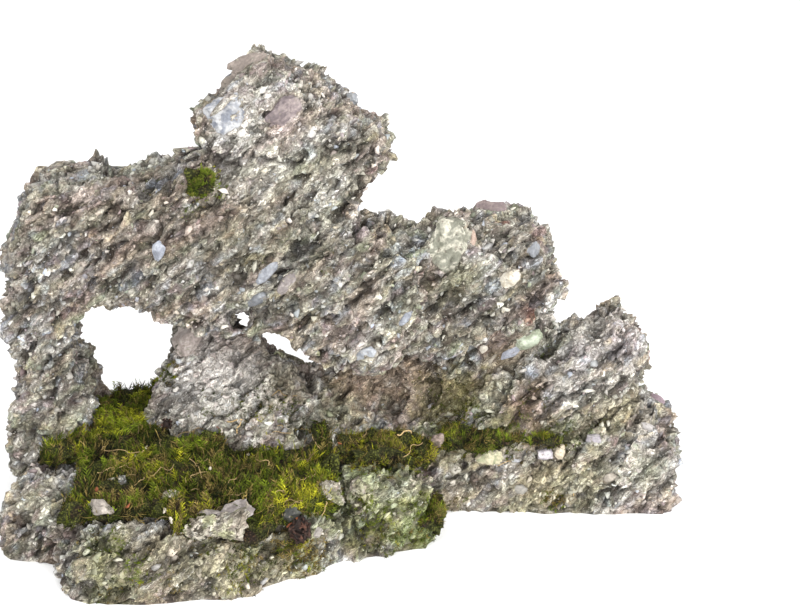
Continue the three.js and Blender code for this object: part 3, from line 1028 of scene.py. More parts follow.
def grit_group():
    """Sand in the cement, drawn out along the beds: a tone for each grain, the grains' height and
    the dark gaps between them."""
    tree, given, out = group(
        "Grit",
        [("Vector", "NodeSocketVector", None),
         ("Grains per metre", "NodeSocketFloat", GRAINS_PER_METRE), ("Dip", "NodeSocketFloat", 0.6)],
        [("Tone", "NodeSocketColor"), ("Height", "NodeSocketFloat"), ("Gap", "NodeSocketColor")],
    )
    bend = clouds(tree, given.outputs[0], 240.0)
    shift = vector_of(tree, "SUBTRACT", bend.outputs["Color"], (0.5, 0.5, 0.5))
    shift = vector_of(tree, "MULTIPLY", shift, (0.005, 0.005, 0.005))
    place = vector_of(tree, "ADD", given.outputs[0], shift)
    turned = node(tree, "ShaderNodeVectorRotate", [("Vector", place), ("Angle", given.outputs[2])],
                  rotation_type="Y_AXIS")
    drawn = vector_of(tree, "MULTIPLY", turned.outputs[0], (0.62, 0.95, 1.35))
    grains = cells(tree, drawn, given.outputs[1])
    rims = cells(tree, drawn, given.outputs[1], "DISTANCE_TO_EDGE")
    chance = node(tree, "ShaderNodeSeparateColor", [(0, grains.outputs["Color"])])
    tone = ramp(tree, chance.outputs[0], [
        (0.0, (0.42, 0.4, 0.37)), (0.13, (0.68, 0.66, 0.63)), (0.3, (0.92, 0.9, 0.87)),
        (0.52, (1.1, 1.09, 1.06)), (0.68, (0.86, 0.88, 0.9)), (0.78, (0.98, 0.9, 0.89)),
        (0.86, (1.34, 1.33, 1.31)), (0.95, (1.65, 1.64, 1.62)),
    ], "CONSTANT")
    finer = sum_of(tree, "MULTIPLY", given.outputs[1], 2.4)
    speck = node(tree, "ShaderNodeSeparateColor",
                 [(0, cells(tree, drawn, finer).outputs["Color"])])
    fine = ramp(tree, speck.outputs[0], [(0.0, (0.5, 0.49, 0.47)), (0.25, (0.85, 0.84, 0.82)),
                                         (0.6, (1.08, 1.08, 1.06)), (0.85, (1.4, 1.4, 1.38))],
                "CONSTANT")
    tree.links.new(blend(tree, "MULTIPLY", 1.0, tone, fine), out.inputs[0])
    small = clouds(tree, given.outputs[0], 1500.0, 3.0, 0.7)
    height = sum_of(tree, "ADD", chance.outputs[1], sum_of(tree, "MULTIPLY", speck.outputs[1], 0.5))
    height = sum_of(tree, "ADD", height, small.outputs[0])
    tree.links.new(height, out.inputs[1])
    gap = ramp(tree, rims.outputs["Distance"], [(0.02, (1, 1, 1)), (0.09, (0, 0, 0))])
    tree.links.new(gap, out.inputs[2])
    return tree


def mottle_group():
    """Uneven colour at two sizes, as a multiplier around one."""
    tree, given, out = group(
        "Mottle",
        [("Vector", "NodeSocketVector", None), ("Broad scale", "NodeSocketFloat", BROAD_MOTTLE),
         ("Fine scale", "NodeSocketFloat", FINE_MOTTLE)],
        [("Tone", "NodeSocketColor"), ("Height", "NodeSocketFloat")],
    )
    broad = clouds(tree, given.outputs[0], given.outputs[1], 3.0)
    fine = clouds(tree, given.outputs[0], given.outputs[2], 3.0)
    wide = ramp(tree, broad.outputs[0], [(0.3, (0.72, 0.70, 0.69)), (0.7, (1.25, 1.25, 1.24))])
    thin = ramp(tree, fine.outputs[0], [(0.3, (0.7, 0.7, 0.7)), (0.7, (1.28, 1.28, 1.28))])
    tree.links.new(blend(tree, "MULTIPLY", 1.0, wide, thin), out.inputs[0])
    tree.links.new(fine.outputs[0], out.inputs[1])
    return tree


def shared_group(name, make):
    """A node group that is made once."""
    return bpy.data.node_groups.get(name) or make()


def new_material(name, roughness, specular=0.4):
    """A material with a Principled BSDF, its tree, the shader and Object coordinates."""
    material = bpy.data.materials.new(name)
    material.use_nodes = True
    tree = material.node_tree
    tree.nodes.clear()
    shader = node(tree, "ShaderNodeBsdfPrincipled",
                  [("Roughness", roughness), ("Specular IOR Level", specular)])
    output = tree.nodes.new("ShaderNodeOutputMaterial")
    tree.links.new(shader.outputs[0], output.inputs[0])
    return material, tree, shader, tree.nodes.new("ShaderNodeTexCoord").outputs["Object"]


def bump(tree, shader, height, strength, distance):
    """Fine relief that only the light shows. The distance is in metres."""
    lifted = node(tree, "ShaderNodeBump", [("Height", height), ("Strength", strength),
                                          ("Distance", distance)])
    tree.links.new(lifted.outputs[0], shader.inputs["Normal"])


def painted(tree):
    """The colour that is painted on each corner of a mesh."""
    return node(tree, "ShaderNodeAttribute", attribute_name="tint").outputs["Color"]


def gritty(tree, place):
    """The shared sand, drawn out along the beds."""
    grit = node(tree, "ShaderNodeGroup", node_tree=shared_group("Grit", grit_group))
    tree.links.new(place, grit.inputs[0])
    grit.inputs[1].default_value = GRAINS_PER_METRE
    grit.inputs[2].default_value = settings("stone").bed_dip
    return grit


def mottled(tree, place, broad=BROAD_MOTTLE, fine=FINE_MOTTLE):
    """The shared mottling at a broad and a fine scale."""
    mottle = node(tree, "ShaderNodeGroup", node_tree=shared_group("Mottle", mottle_group))
    tree.links.new(place, mottle.inputs[0])
    mottle.inputs[1].default_value = broad
    mottle.inputs[2].default_value = fine
    return mottle


def skin_material():
    """Coarse puddingstone: the painted clasts with sand over them."""
    material, tree, shader, place = new_material("puddingstone", 0.9, 0.25)
    grit = gritty(tree, place)
    sanded = blend(tree, "MULTIPLY", 0.8, painted(tree), grit.outputs["Tone"])
    tree.links.new(blend(tree, "MULTIPLY", grit.outputs["Gap"], sanded, (0.58, 0.55, 0.52)),
                   shader.inputs["Base Color"])
    bump(tree, shader, grit.outputs["Height"], 1.0, 0.0007)
    return material


def grain_material():
    """Loose angular grains: each with its own painted colour, and a slight glint."""
    material, tree, shader, place = new_material("grit", 0.62, 0.5)
    mottle = mottled(tree, place, fine=1300.0)
    tree.links.new(blend(tree, "MULTIPLY", 0.7, painted(tree), mottle.outputs[0]),
                   shader.inputs["Base Color"])
    bump(tree, shader, mottle.outputs[1], 0.5, 0.0003)
    return material


def clast_material(name, main, second, share):
    """A water-worn clast of two colours in soft bands, dusty in its small pits."""
    material, tree, shader, place = new_material(name, 0.6, 0.45)
    bands = clouds(tree, place, 170.0, 4.0, distortion=1.2)
    low = 0.62 - 0.3 * share
    shade = ramp(tree, bands.outputs[0], [(low, linear(main)), (low + 0.16, linear(second))])
    mottle = mottled(tree, place)
    worn = blend(tree, "MULTIPLY", 0.75, shade, mottle.outputs[0])
    specks = cells(tree, place, 520.0)
    dusty = ramp(tree, specks.outputs["Distance"], [(0.18, (1, 1, 1)), (0.34, (0, 0, 0))])
    wide = clouds(tree, place, 240.0, 3.0)
    where = ramp(tree, wide.outputs[0], [(0.48, (0, 0, 0)), (0.62, (1, 1, 1))])
    masked = blend(tree, "MULTIPLY", 1.0, dusty, where)
    dirty = blend(tree, "MIX", masked, worn, linear("6f665c"))
    crust, grit = sand(tree, place, "8e897f")
    clear = clouds(tree, place, 120.0, 5.0, 0.65)
    where = ramp(tree, clear.outputs[0], [(0.6, (0, 0, 0)), (0.64, (1, 1, 1))])
    tree.links.new(blend(tree, "MIX", where, dirty, crust), shader.inputs["Base Color"])
    bump(tree, shader, blend(tree, "MIX", where, mottle.outputs[1], grit.outputs["Height"]),
         0.8, 0.0005)
    return material


def sand(tree, place, code):
    """Sand in cement of one colour: its colour socket and its group node."""
    grit = gritty(tree, place)
    return blend(tree, "MULTIPLY", 1.0, linear(code), grit.outputs["Tone"]), grit


def lump_material():
    """The stone's own sandy cement, with algae in patches."""
    material, tree, shader, place = new_material("sandy_lump", 0.9, 0.25)
    sanded, grit = sand(tree, place, "a39e94")
    patches = clouds(tree, place, 110.0, 4.0)
    shade = ramp(tree, patches.outputs[0], [(0.4, (0.72, 0.68, 0.65)), (0.52, (1.0, 1.0, 1.0)),
                                            (0.62, (0.78, 0.84, 0.62))])
    tree.links.new(blend(tree, "MULTIPLY", 1.0, sanded, shade), shader.inputs["Base Color"])
    bump(tree, shader, grit.outputs["Height"], 1.0, 0.0009)
    return material


def moss_material():
    """Moss shoots: each with its own painted green, paler towards the tip."""
    material, tree, shader, place = new_material("moss", 0.7, 0.15)
    mottle = mottled(tree, place, broad=110.0)
    tree.links.new(blend(tree, "MULTIPLY", 0.6, painted(tree), mottle.outputs[0]),
                   shader.inputs["Base Color"])
    return material


def soil_material():
    """The dark crumbly soil and dead moss under the shoots."""
    moss = settings("moss")
    material, tree, shader, place = new_material("moss_soil", 0.95, 0.2)
    patches = clouds(tree, place, 95.0, 4.0)
    shade = ramp(tree, patches.outputs[0], [(0.36, tuple(moss.soil)), (0.5, linear("343719")),
                                            (0.68, linear("4a4f24"))])
    crumbs = cells(tree, place, 800.0)
    tone = ramp(tree, crumbs.outputs["Distance"],
                [(0.08, (3.0, 2.8, 2.4)), (0.55, (0.35, 0.35, 0.35))])
    tree.links.new(blend(tree, "MULTIPLY", 0.8, shade, tone), shader.inputs["Base Color"])
    bump(tree, shader, crumbs.outputs["Distance"], 1.0, -0.0015)
    return material


def litter_material(name, roughness):
    """Dry plant litter in its painted colour, with fibres along it."""
    material, tree, shader, place = new_material(name, roughness, 0.3)
    stretched = node(tree, "ShaderNodeMapping", [("Vector", place), ("Scale", (1.0, 3.0, 3.0))])
    fibres = clouds(tree, stretched.outputs[0], 420.0, 4.0, 0.7)
    tone = ramp(tree, fibres.outputs[0], [(0.3, (0.45, 0.44, 0.43)), (0.7, (1.6, 1.55, 1.5))])
    tree.links.new(blend(tree, "MULTIPLY", 0.9, painted(tree), tone), shader.inputs["Base Color"])
    bump(tree, shader, fibres.outputs[0], 0.8, 0.0005)
    return material


# Moss

def strand(bm, root, tip, radius, rings, swelling):
    """A closed three-sided strand from root to tip, which swells and thins from ring to ring."""
    axis = tip - root
    turn = axis.to_track_quat("Z", "Y").to_matrix().to_4x4()
    made = bmesh.ops.create_circle(bm, cap_ends=True, segments=3, radius=radius,
                                   matrix=Matrix.Translation(root) @ turn)
    cap = made["verts"][0].link_faces[0]
    base_edges = cap.edges[:]
    width = 1.0
    for ring in range(1, rings + 1):
        cap = bmesh.ops.extrude_discrete_faces(bm, faces=[cap])["faces"][0]
        bmesh.ops.translate(bm, vec=axis / rings, verts=cap.verts)
        taper = 1.0 - 0.9 * (ring / rings) ** 1.6
        wanted = taper * (1.0 + swelling * (-1) ** ring)
        middle = cap.calc_center_median()
        bmesh.ops.scale(bm, vec=Vector((1, 1, 1)) * wanted / width, verts=cap.verts,
                        space=Matrix.Translation(-middle))
        width = wanted
    open_edges = [edge for edge in base_edges if edge.is_valid and edge.is_boundary]
    if open_edges:
        bmesh.ops.contextual_create(bm, geom=open_edges)


def spike(bm, root, out, reach, radius):
    """A closed three-sided spike."""
    made = bmesh.ops.create_cone(bm, cap_ends=True, segments=3, radius1=radius, radius2=0.0,
                                 depth=reach)
    turn = out.to_track_quat("Z", "Y").to_matrix().to_4x4()
    move = Matrix.Translation(root + out * reach / 2) @ turn
    bmesh.ops.transform(bm, matrix=move, verts=made["verts"])


def bent(bm, amount):
    """Bends a shape of unit length that stands on +Z over towards +X."""
    for vert in bm.verts:
        vert.co.x += amount * vert.co.z * vert.co.z


def frond_shape(random, leaves):
    """A feathery frond of unit length: a bent stem with two rows of small pointed branches."""
    bm = bmesh.new()
    strand(bm, Vector((0, 0, 0)), Vector((0, 0, 1)), 0.024, 3, 0.0)
    for number in range(leaves):
        share = number / leaves
        reach = 0.34 * math.sin(math.pi * (0.28 + 0.62 * share)) * random.uniform(0.6, 1.3)
        out = Vector((0.35 * random.normal(), (-1) ** number, 1.0)).normalized()
        spike(bm, Vector((0, 0, 0.16 + 0.8 * share)), out, reach, 0.028)
    bent(bm, random.uniform(0.2, 0.6))
    return Shape(bm)


def thread_shape(random):
    """A plain mossy thread of unit length that swells where its leaves are."""
    bm = bmesh.new()
    strand(bm, Vector((0, 0, 0)), Vector((0, 0, 1)), 0.05, 3, 0.3)
    bent(bm, random.uniform(0.1, 0.9))
    return Shape(bm)


def star_shape(random):
    """A short shoot seen from above: a tuft of pointed leaves that spread from one root."""
    bm = bmesh.new()
    leaves = 6
    for number in range(leaves):
        angle = 2 * math.pi * (number + 0.4 * random.random()) / leaves
        spread = random.uniform(0.5, 1.3)
        out = Vector((spread * math.cos(angle), spread * math.sin(angle), 1.0)).normalized()
        spike(bm, Vector((0, 0, 0)), out, random.uniform(0.7, 1.0), 0.1)
    return Shape(bm)


# How each cushion is grown: how many fronds, threads and stars, the size of its shoots against the
# full one, how bright it is from 0 to 1, and how much of it has dried
CUSHIONS = {
    "moss_terrace": (1500, 4700, 3900, 1.0, 0.4, 0.25),
    "moss_hollow": (60, 700, 900, 0.7, 0.85, 0.55),
    "moss_ledge": (60, 600, 800, 0.7, 0.55, 0.3),
    "moss_tuft": (24, 320, 460, 0.36, 0.5, 0.12),
    "moss_pillar": (30, 200, 240, 0.6, 0.55, 0.12),
    "moss_foot": (50, 560, 760, 0.6, 0.8, 0.4),
}

# Where the moss differs: the middle in the photograph's pixels, the radius in millimetres, how much
# brighter it is, how much of it has dried, and how dense its long fronds are
MOSS_PATCHES = [
    ((112, 422), 22, 0.8, -0.1, 0.6),
    ((122, 465), 14, 0.35, 0.0, 0.7),
    ((170, 395), 16, -0.25, 0.0, 0.3),
    ((170, 465), 14, 0.3, 0.1, 0.6),
    ((205, 440), 12, 0.45, 0.0, 0.6),
    ((255, 430), 10, 0.6, 0.0, 0.3),
    ((250, 470), 20, -0.2, 0.0, 0.0),
    ((285, 455), 12, 0.4, 0.0, 0.3),
    ((312, 492), 22, 0.45, -0.1, 0.25),
    ((275, 500), 16, 0.4, 0.0, 0.3),
    ((190, 512), 14, 0.5, 0.3, 0.5),
    ((130, 480), 20, -0.35, 0.2, 0.1),
    ((215, 480), 18, -0.3, 0.2, 0.1),
    ((110, 500), 14, 0.1, 0.3, 0.2),
    ((240, 425), 14, -0.1, 0.1, 0.2),
    ((320, 545), 14, 0.1, 0.6, 0.4),
    ((370, 450), 20, 0.15, 0.1, 0.0),
    ((440, 445), 14, 0.4, 0.0, 0.0),
    ((520, 435), 20, 0.3, 0.2, 0.0),
    ((207, 184), 4, 0.5, 0.0, 0.0),
    ((217, 174), 5, -0.4, 0.1, 0.0),
]

# Where stone shows through the moss: a pixel and the radius in millimetres
PARTED = [((231, 512), 11), ((208, 518), 9), ((102, 508), 7), ((170, 425), 8), ((200, 484), 6),
          ((300, 528), 11), ((340, 470), 7), ((228, 524), 10), ((332, 490), 8), ((371, 440), 8),
          ((188, 173), 6), ((214, 198), 6),
          ((412, 436), 8), ((435, 439), 7), ((352, 458), 7), ((508, 441), 7), ((470, 440), 5),
          ((545, 442), 7), ((354, 486), 8), ((395, 454), 6), ((442, 497), 7)]

# How deep the soil lies under a cushion's surface, how far it rises and falls, and how much deeper it
# lies where stone shows through
MAT_DEPTH = 1.8 * MM
MAT_RELIEF = 1.9 * MM
PARTED_DEPTH = 6 * MM

# The facets of a cushion's surface and of its soil, and how steeply a shoot rises from it at least
CUSHION_FACET = 1.6 * MM
SOIL_FACET = 1.5 * MM
LEAST_RISE = 0.12

# How far shoots may stand below and above a cushion's surface, and how far it is uneven
BELOW_CUSHION = 1.5 * MM
ABOVE_CUSHION = 1.0 * MM
CUSHION_RELIEF = 4 * MM


def parted(places):
    """1 where stone shows through the moss, falling to 0 around it."""
    share = np.zeros(len(places))
    for pixel, radius in PARTED:
        share = np.maximum(share, near_patch(places, Made.ground.seen(pixel)[0], radius))
    return share


def moss_fields(places):
    """How bright, how dry and how long the moss is at each place, by the patches."""
    fields = np.zeros((3, len(places)))
    for pixel, radius, *most in MOSS_PATCHES:
        spot = Made.ground.seen(pixel)[0]
        fields += np.array(most)[:, None] * near_patch(places, spot, radius)
    return fields


def moss_greens(places, bright, dry, random, patchy=1.0):
    """A colour for each shoot: bright, fresh or deep green by patch, and some dried ones."""
    moss = settings("moss")
    patch = field(places, 0.014)
    small = field(places, 0.0045)
    hue = field(places, 0.03, (8, 2, 5))
    lighter, drier, _ = moss_fields(places)
    level = patch * 0.75 + small * 0.6 + random.normal(0, 0.2, len(places))
    level += bright - 0.5 + patchy * lighter
    colours = mixed(moss.deep, moss.green, smooth(level, -0.5, 0.1))
    brightest = mixed(moss.bright, moss.fresh, smooth(hue, -0.15, 0.2))
    colours = colours + (brightest - colours) * smooth(level, 0.05, 0.8)[:, None]
    browned = random.random(len(places)) < dry + drier + 0.3 * smooth(-patch, 0.2, 0.6)
    old = mixed(moss.dry, moss.soil, random.random(len(places)) ** 1.5)
    colours = np.where(browned[:, None], old, colours)
    return colours * random.uniform(0.6, 1.5, (len(places), 1))


def grow(name, surface, shapes, count, size, sizes, random, looks, weight):
    """Shoots of a few shapes, whose tips reach the skin of a cushion. looks holds how bright, how
    dry and how upright they are, how much they lean to the photograph's upper right, the shade of
    their roots and how much they follow the patches."""
    bright, dry, upright, lean, root_shade, patchy = looks
    places, normals, _ = surface.scattered(count, random, weight)
    flow = np.array([noise.noise_vector(Vector(p) / 0.009)[:] for p in places.tolist()])
    up = np.array([0.0, 0.0, 1.0])
    axes = upright * normals + 1.9 * flow + lean * np.array([0.5, -0.15, 1.0])
    axes += random.normal(0, 0.5, places.shape)
    away = np.minimum((axes * normals).sum(1, keepdims=True) - LEAST_RISE, 0)
    axes = unit(axes - away * normals)
    long = size * random.uniform(*sizes, (count, 1))
    turns = turns_to(axes, random, np.repeat(long, 3, axis=1), lean=up + 0.6 * flow)
    stands = (axes * normals).sum(1, keepdims=True)
    roots = places - normals * stands * long * random.uniform(0.7, 1.0, (count, 1))
    roots -= 0.5 * long * (axes - stands * normals)
    colours = moss_greens(places, bright, dry, random, patchy)
    picks = random.integers(0, len(shapes), count)
    obj = joined(name, shapes, picks, turns, roots, colours, root_shade)
    low = surface.points.min(0) - BELOW_CUSHION
    high = surface.points.max(0) + ABOVE_CUSHION
    move_corners(obj.data, np.clip(corners_of(obj.data), low, high))
    return obj


def uneven(surface):
    """The surface of a cushion, drawn in here and there."""
    drawn = CUSHION_RELIEF * smooth(field(surface.points, 0.012, (3, 3, 3)), -0.1, 0.5)
    surface.points = surface.points - surface.normals * drawn[:, None]
    return surface


def moss_mat(name, node_name):
    """The soil and old moss under the shoots: the cushion's solid, drawn in and made crumbly."""
    mesh = remeshed_node(node_name, SOIL_FACET, 3)
    mat = Surface(mesh)
    drawn = [noise.fractal(Vector(p) / 0.005, 0.8, 2.0, 3) for p in mat.points.tolist()]
    drawn = MAT_DEPTH + MAT_RELIEF * np.array(drawn) + PARTED_DEPTH * parted(mat.points)
    move_corners(mesh, uneven(mat).points - mat.normals * drawn[:, None])
    return new_object(name, mesh)


# Small patches of moss on the bare stone: the middle in pixels, the radius in millimetres, how many
# shoots, their length in millimetres, how bright and how dry they are
SPRIGS = [
    ((105, 545), 12, 112, 2.6, 0.3, 0.2), ((140, 572), 9, 75, 2.4, 0.7, 0.2),
    ((112, 590), 9, 50, 2.4, 0.3, 0.3), ((240, 575), 12, 137, 2.6, 0.6, 0.25),
    ((248, 548), 10, 62, 2.4, 0.3, 0.3), ((315, 560), 13, 200, 2.8, 0.3, 0.6),
    ((300, 548), 12, 175, 3.4, 0.6, 0.55), ((270, 548), 12, 75, 2.6, 0.4, 0.3),
    ((205, 545), 12, 62, 2.2, 0.3, 0.6), ((168, 585), 10, 50, 2.2, 0.3, 0.5),
    ((428, 522), 16, 250, 2.8, 0.5, 0.2), ((392, 545), 10, 75, 2.4, 0.3, 0.3),
    ((386, 515), 8, 62, 2.2, 0.7, 0.1), ((365, 500), 7, 45, 2.2, 0.7, 0.1),
    ((404, 503), 6, 32, 2.0, 0.6, 0.1), ((372, 531), 7, 45, 2.2, 0.7, 0.1),
    ((455, 508), 9, 75, 2.4, 0.6, 0.4), ((552, 500), 7, 75, 2.6, 0.7, 0.5),
    ((375, 465), 16, 225, 2.6, 0.35, 0.25), ((360, 500), 8, 50, 2.2, 0.4, 0.2),
    ((345, 440), 10, 75, 2.4, 0.4, 0.2), ((410, 462), 14, 175, 2.6, 0.4, 0.25),
    ((460, 430), 16, 212, 2.6, 0.5, 0.15), ((505, 440), 14, 162, 2.4, 0.4, 0.2),
    ((560, 438), 12, 112, 2.4, 0.4, 0.2), ((585, 436), 8, 37, 2.2, 0.3, 0.3),
    ((455, 400), 20, 162, 2.2, 0.25, 0.2), ((430, 385), 12, 50, 2.0, 0.2, 0.3),
    ((525, 400), 12, 62, 2.0, 0.3, 0.2), ((300, 362), 12, 62, 2.0, 0.4, 0.1),
    ((275, 400), 12, 75, 2.2, 0.2, 0.1), ((255, 412), 12, 87, 2.4, 0.5, 0.1),
    ((290, 418), 12, 87, 2.4, 0.3, 0.15), ((215, 405), 12, 50, 2.2, 0.2, 0.2),
    ((168, 372), 9, 75, 2.8, 0.8, 0.1), ((152, 190), 6, 20, 2.0, 0.3, 0.2),
    ((190, 212), 7, 27, 2.0, 0.3, 0.2), ((205, 182), 9, 75, 2.8, 0.8, 0.1),
    ((196, 195), 7, 30, 2.2, 0.5, 0.2), ((255, 262), 8, 17, 1.8, 0.2, 0.2),
    ((330, 262), 8, 12, 1.8, 0.2, 0.3), ((405, 245), 8, 15, 1.8, 0.2, 0.3),
    ((640, 455), 9, 20, 1.8, 0.3, 0.3), ((540, 350), 7, 30, 2.0, 0.4, 0.1),
    ((470, 345), 9, 25, 1.8, 0.2, 0.2), ((600, 425), 8, 27, 2.0, 0.3, 0.3),
]


def sprigs(skin, shapes, random):
    """Short shoots that root in the hollows of the bare stone."""
    places, normals, looks = [], [], []
    for pixel, radius, count, length_mm, bright, dry in SPRIGS:
        weight = near_patch(skin.points, skin.seen(pixel)[0], radius, 0.3) ** 2
        spots, ups, _ = skin.scattered(count, random, weight)
        places.append(spots)
        normals.append(ups)
        looks += [(length_mm * MM, bright, dry)] * len(spots)
    places, normals, looks = np.concatenate(places), np.concatenate(normals), np.array(looks)
    count = len(places)
    axes = unit(normals + random.normal(0, 0.45, places.shape) + (0, 0, 0.3))
    sizes = looks[:, :1] * random.uniform(0.6, 1.1, (count, 1)) * np.array([[1.1, 1.1, 0.8]])
    colours = moss_greens(places, looks[:, 1], looks[:, 2], random)
    return joined("moss_sprigs", shapes, random.integers(0, len(shapes), count),
                  turns_to(axes, random, sizes), places - 0.3 * MM * normals, colours, 0.45)


# Litter in the moss: stems from one pixel to another, with their thickness and rise in millimetres
# and their tone, then flakes and crumbs at a pixel with their length in millimetres
STEMS = [
    ((95, 475), (116, 469), 0.6, 1.5, 1.3), ((116, 469), (146, 455), 0.6, 1.0, 1.2),
    ((255, 462), (271, 467), 0.5, 1.5, 1.1), ((150, 476), (176, 466), 0.4, 0.8, 0.9),
    ((398, 437), (411, 433), 0.8, 1.0, 1.3), ((402, 458), (424, 441), 0.4, 1.5, 1.0),
    ((186, 482), (212, 474), 0.4, 1.5, 0.9), ((297, 482), (314, 476), 0.4, 1.0, 1.3),
    ((200, 478), (193, 462), 0.4, 2.0, 1.1), ((325, 520), (327, 502), 0.4, 1.0, 1.0),
    ((571, 509), (577, 492), 0.6, 2.0, 1.1), ((497, 470), (512, 462), 0.4, 1.5, 1.0),
    ((356, 438), (372, 430), 0.4, 1.0, 0.8), ((108, 452), (140, 458), 0.4, 1.5, 1.0),
    ((238, 434), (241, 423), 0.7, 1.0, 1.4), ((241, 423), (227, 421), 0.7, 1.0, 1.3),
    ((268, 398), (294, 396), 0.5, 2.5, 0.7), ((318, 448), (312, 440), 0.5, 1.0, 1.2),
]
FLAKES = [
    ((128, 508), 4.2), ((290, 525), 4.5), ((297, 519), 3.6), ((97, 491), 3.4), ((340, 445), 2.6),
    ((218, 428), 2.4),
]
CRUMBS = [
    ((146, 449), 3.0), ((248, 456), 3.0), ((120, 480), 2.2), ((222, 432), 5.0), ((136, 457), 2.4),
    ((210, 470), 2.6), ((176, 494), 4.2), ((165, 512), 3.4), ((320, 534), 3.6), ((172, 521), 4.0),
]

# Where the loose stems lie, as the least and the most of their pixels, how far they reach in pixels,
# and their thickness and tone at the least and the most
LOOSE_STEMS = ((98, 425), (335, 520))
LOOSE_REACH = (9, 5)
LOOSE_THICKNESS = (0.22, 0.4)
LOOSE_TONE = (0.4, 0.95)
LOOSE_RISE = 0.6

# The facets of a bark chip's core
BARK_FACET = 1.2 * MM

# A stem whose ends lie further apart than this runs over an edge, and is left out
LONGEST_STEM = 25 * MM

# How far a stem's middle line lies above what it rests on, its bends and how crooked it is
STEM_ABOVE = 0.6 * MM
STEM_POINTS = 6
STEM_CROOK = 0.09


def thread(start, end, thickness, rise, random):
    """A dry crooked stem that lies over the moss between two places, as an unlinked mesh."""
    curve = bpy.data.curves.new("stem", "CURVE")
    curve.dimensions = "3D"
    curve.bevel_depth = thickness * MM / 2
    curve.bevel_resolution = 0
    curve.resolution_u = 4
    curve.use_fill_caps = True
    line = curve.splines.new("NURBS")
    line.points.add(STEM_POINTS - 1)
    for number in range(STEM_POINTS):
        share = number / (STEM_POINTS - 1)
        crook = STEM_CROOK * (end - start).length * Vector(random.normal(size=3))
        lift = rise * MM * math.sin(math.pi * share) + STEM_ABOVE
        line.points[number].co = (*(start.lerp(end, share) + crook + Vector((0, 0, lift))), 1.0)
    line.use_endpoint_u = True
    line.order_u = 4
    obj = new_object("stem", curve)
    mesh = bpy.data.meshes.new_from_object(obj.evaluated_get(bpy.context.evaluated_depsgraph_get()))
    bpy.data.objects.remove(obj)
    return mesh


def bark_chip(name, node_name, scales, random):
    """A chip of bark in place of its solid, split into scales around a crumbly core."""
    litter = settings("litter")
    low, high = (np.array(corner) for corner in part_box(node_name))
    core = Surface(remeshed_node(node_name, BARK_FACET, 3))
    drawn = [2.6 + 3.2 * noise.fractal(Vector(p) / 0.006, 1.0, 2.0, 3) for p in core.points.tolist()]
    core_points = core.points - core.normals * MM * np.array(drawn)[:, None]
    count = litter.bark_scales
    places, normals, _ = core.scattered(count, random)
    axes = unit(normals + random.normal(0, 0.5, normals.shape))
    reach = 0.5 * (high - low).min()
    sizes = reach * random.uniform(0.25, 0.8, (count, 1)) * np.array([[1.3, 0.8, 0.8]])
    tones = mixed(litter.bark, litter.flake, 0.16 * random.random(count) ** 2)
    tones = tones * random.uniform(0.4, 1.6, (count, 1))
    obj = joined(name, scales, np.arange(count) % len(scales), turns_to(axes, random, sizes),
                 places - 0.35 * reach * normals, tones)
    bm = bmesh.new()
    bm.from_mesh(obj.data)
    crumbly = mesh_from("core", core_points, core.triangles)
    bm.from_mesh(crumbly)
    bpy.data.meshes.remove(crumbly)
    for vert in bm.verts:
        vert.co = np.clip(np.array(vert.co), low, high)
    scale_corners = len(obj.data.vertices)
    bm.to_mesh(obj.data)
    bm.free()
    shades = obj.data.attributes["tint"].data
    for number in range(scale_corners, len(obj.data.vertices)):
        shades[number].color = (*(0.55 * c for c in litter.bark), 1.0)
    return obj


def flake_shape(random):
    """A thin curled flake of unit length."""
    bm = bmesh.new()
    made = bmesh.ops.create_circle(bm, cap_ends=True, segments=7, radius=0.5)
    for vert in made["verts"]:
        vert.co *= 0.6 + 0.5 * random.random()
    thick = bmesh.ops.extrude_face_region(bm, geom=bm.faces[:])
    top = [item for item in thick["geom"] if isinstance(item, bmesh.types.BMVert)]
    bmesh.ops.translate(bm, vec=(0, 0, 0.14), verts=top)
    for vert in bm.verts:
        vert.co.z += 0.5 * vert.co.x * vert.co.x
    bmesh.ops.scale(bm, vec=(1.0, 0.6, 1.0), verts=bm.verts)
    return Shape(bm)


class Made:
    """What the operators share, made once: the stone's skin, the tint and its share at each of its
    corners, its tone in streaks, and the stone with its cushions."""

    skin = None
    shares = None
    tone = None
    ground = None


def ground_surface():
    """The stone with the cushions' solids on it, for laying things on."""
    bm = bmesh.new()
    bm.from_mesh(bpy.data.objects["stone"].data)
    for name in MOSS_NODES:
        bm.from_mesh(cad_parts[name].data)
    mesh = mesh_of("ground", bm)
    surface = Surface(mesh)
    bpy.data.meshes.remove(mesh)
    return surface


# Operators

# The share of the grains that have each of the stone's colours
GRAIN_SHARES = {"cement": 0.34, "pale": 0.25, "white": 0.05, "blue": 0.1, "mauve": 0.08,
                "dark": 0.09, "tan": 0.05, "olive": 0.04}

# Where each draw of random numbers starts
GRIT_SEED = 11
MOSS_SEED = 23
LITTER_SEED = 31
NOISE_SEED = 7

# The lamps: where they stand and how wide they are, in metres
LAMPS = {
    "key": ((-0.5, -1.0, 1.5), 1.1),
    "front": ((0.25, -1.5, 0.4), 1.0),
    "side": ((1.3, -0.6, 0.8), 1.0),
}
FLOOR_REACH = 6.0


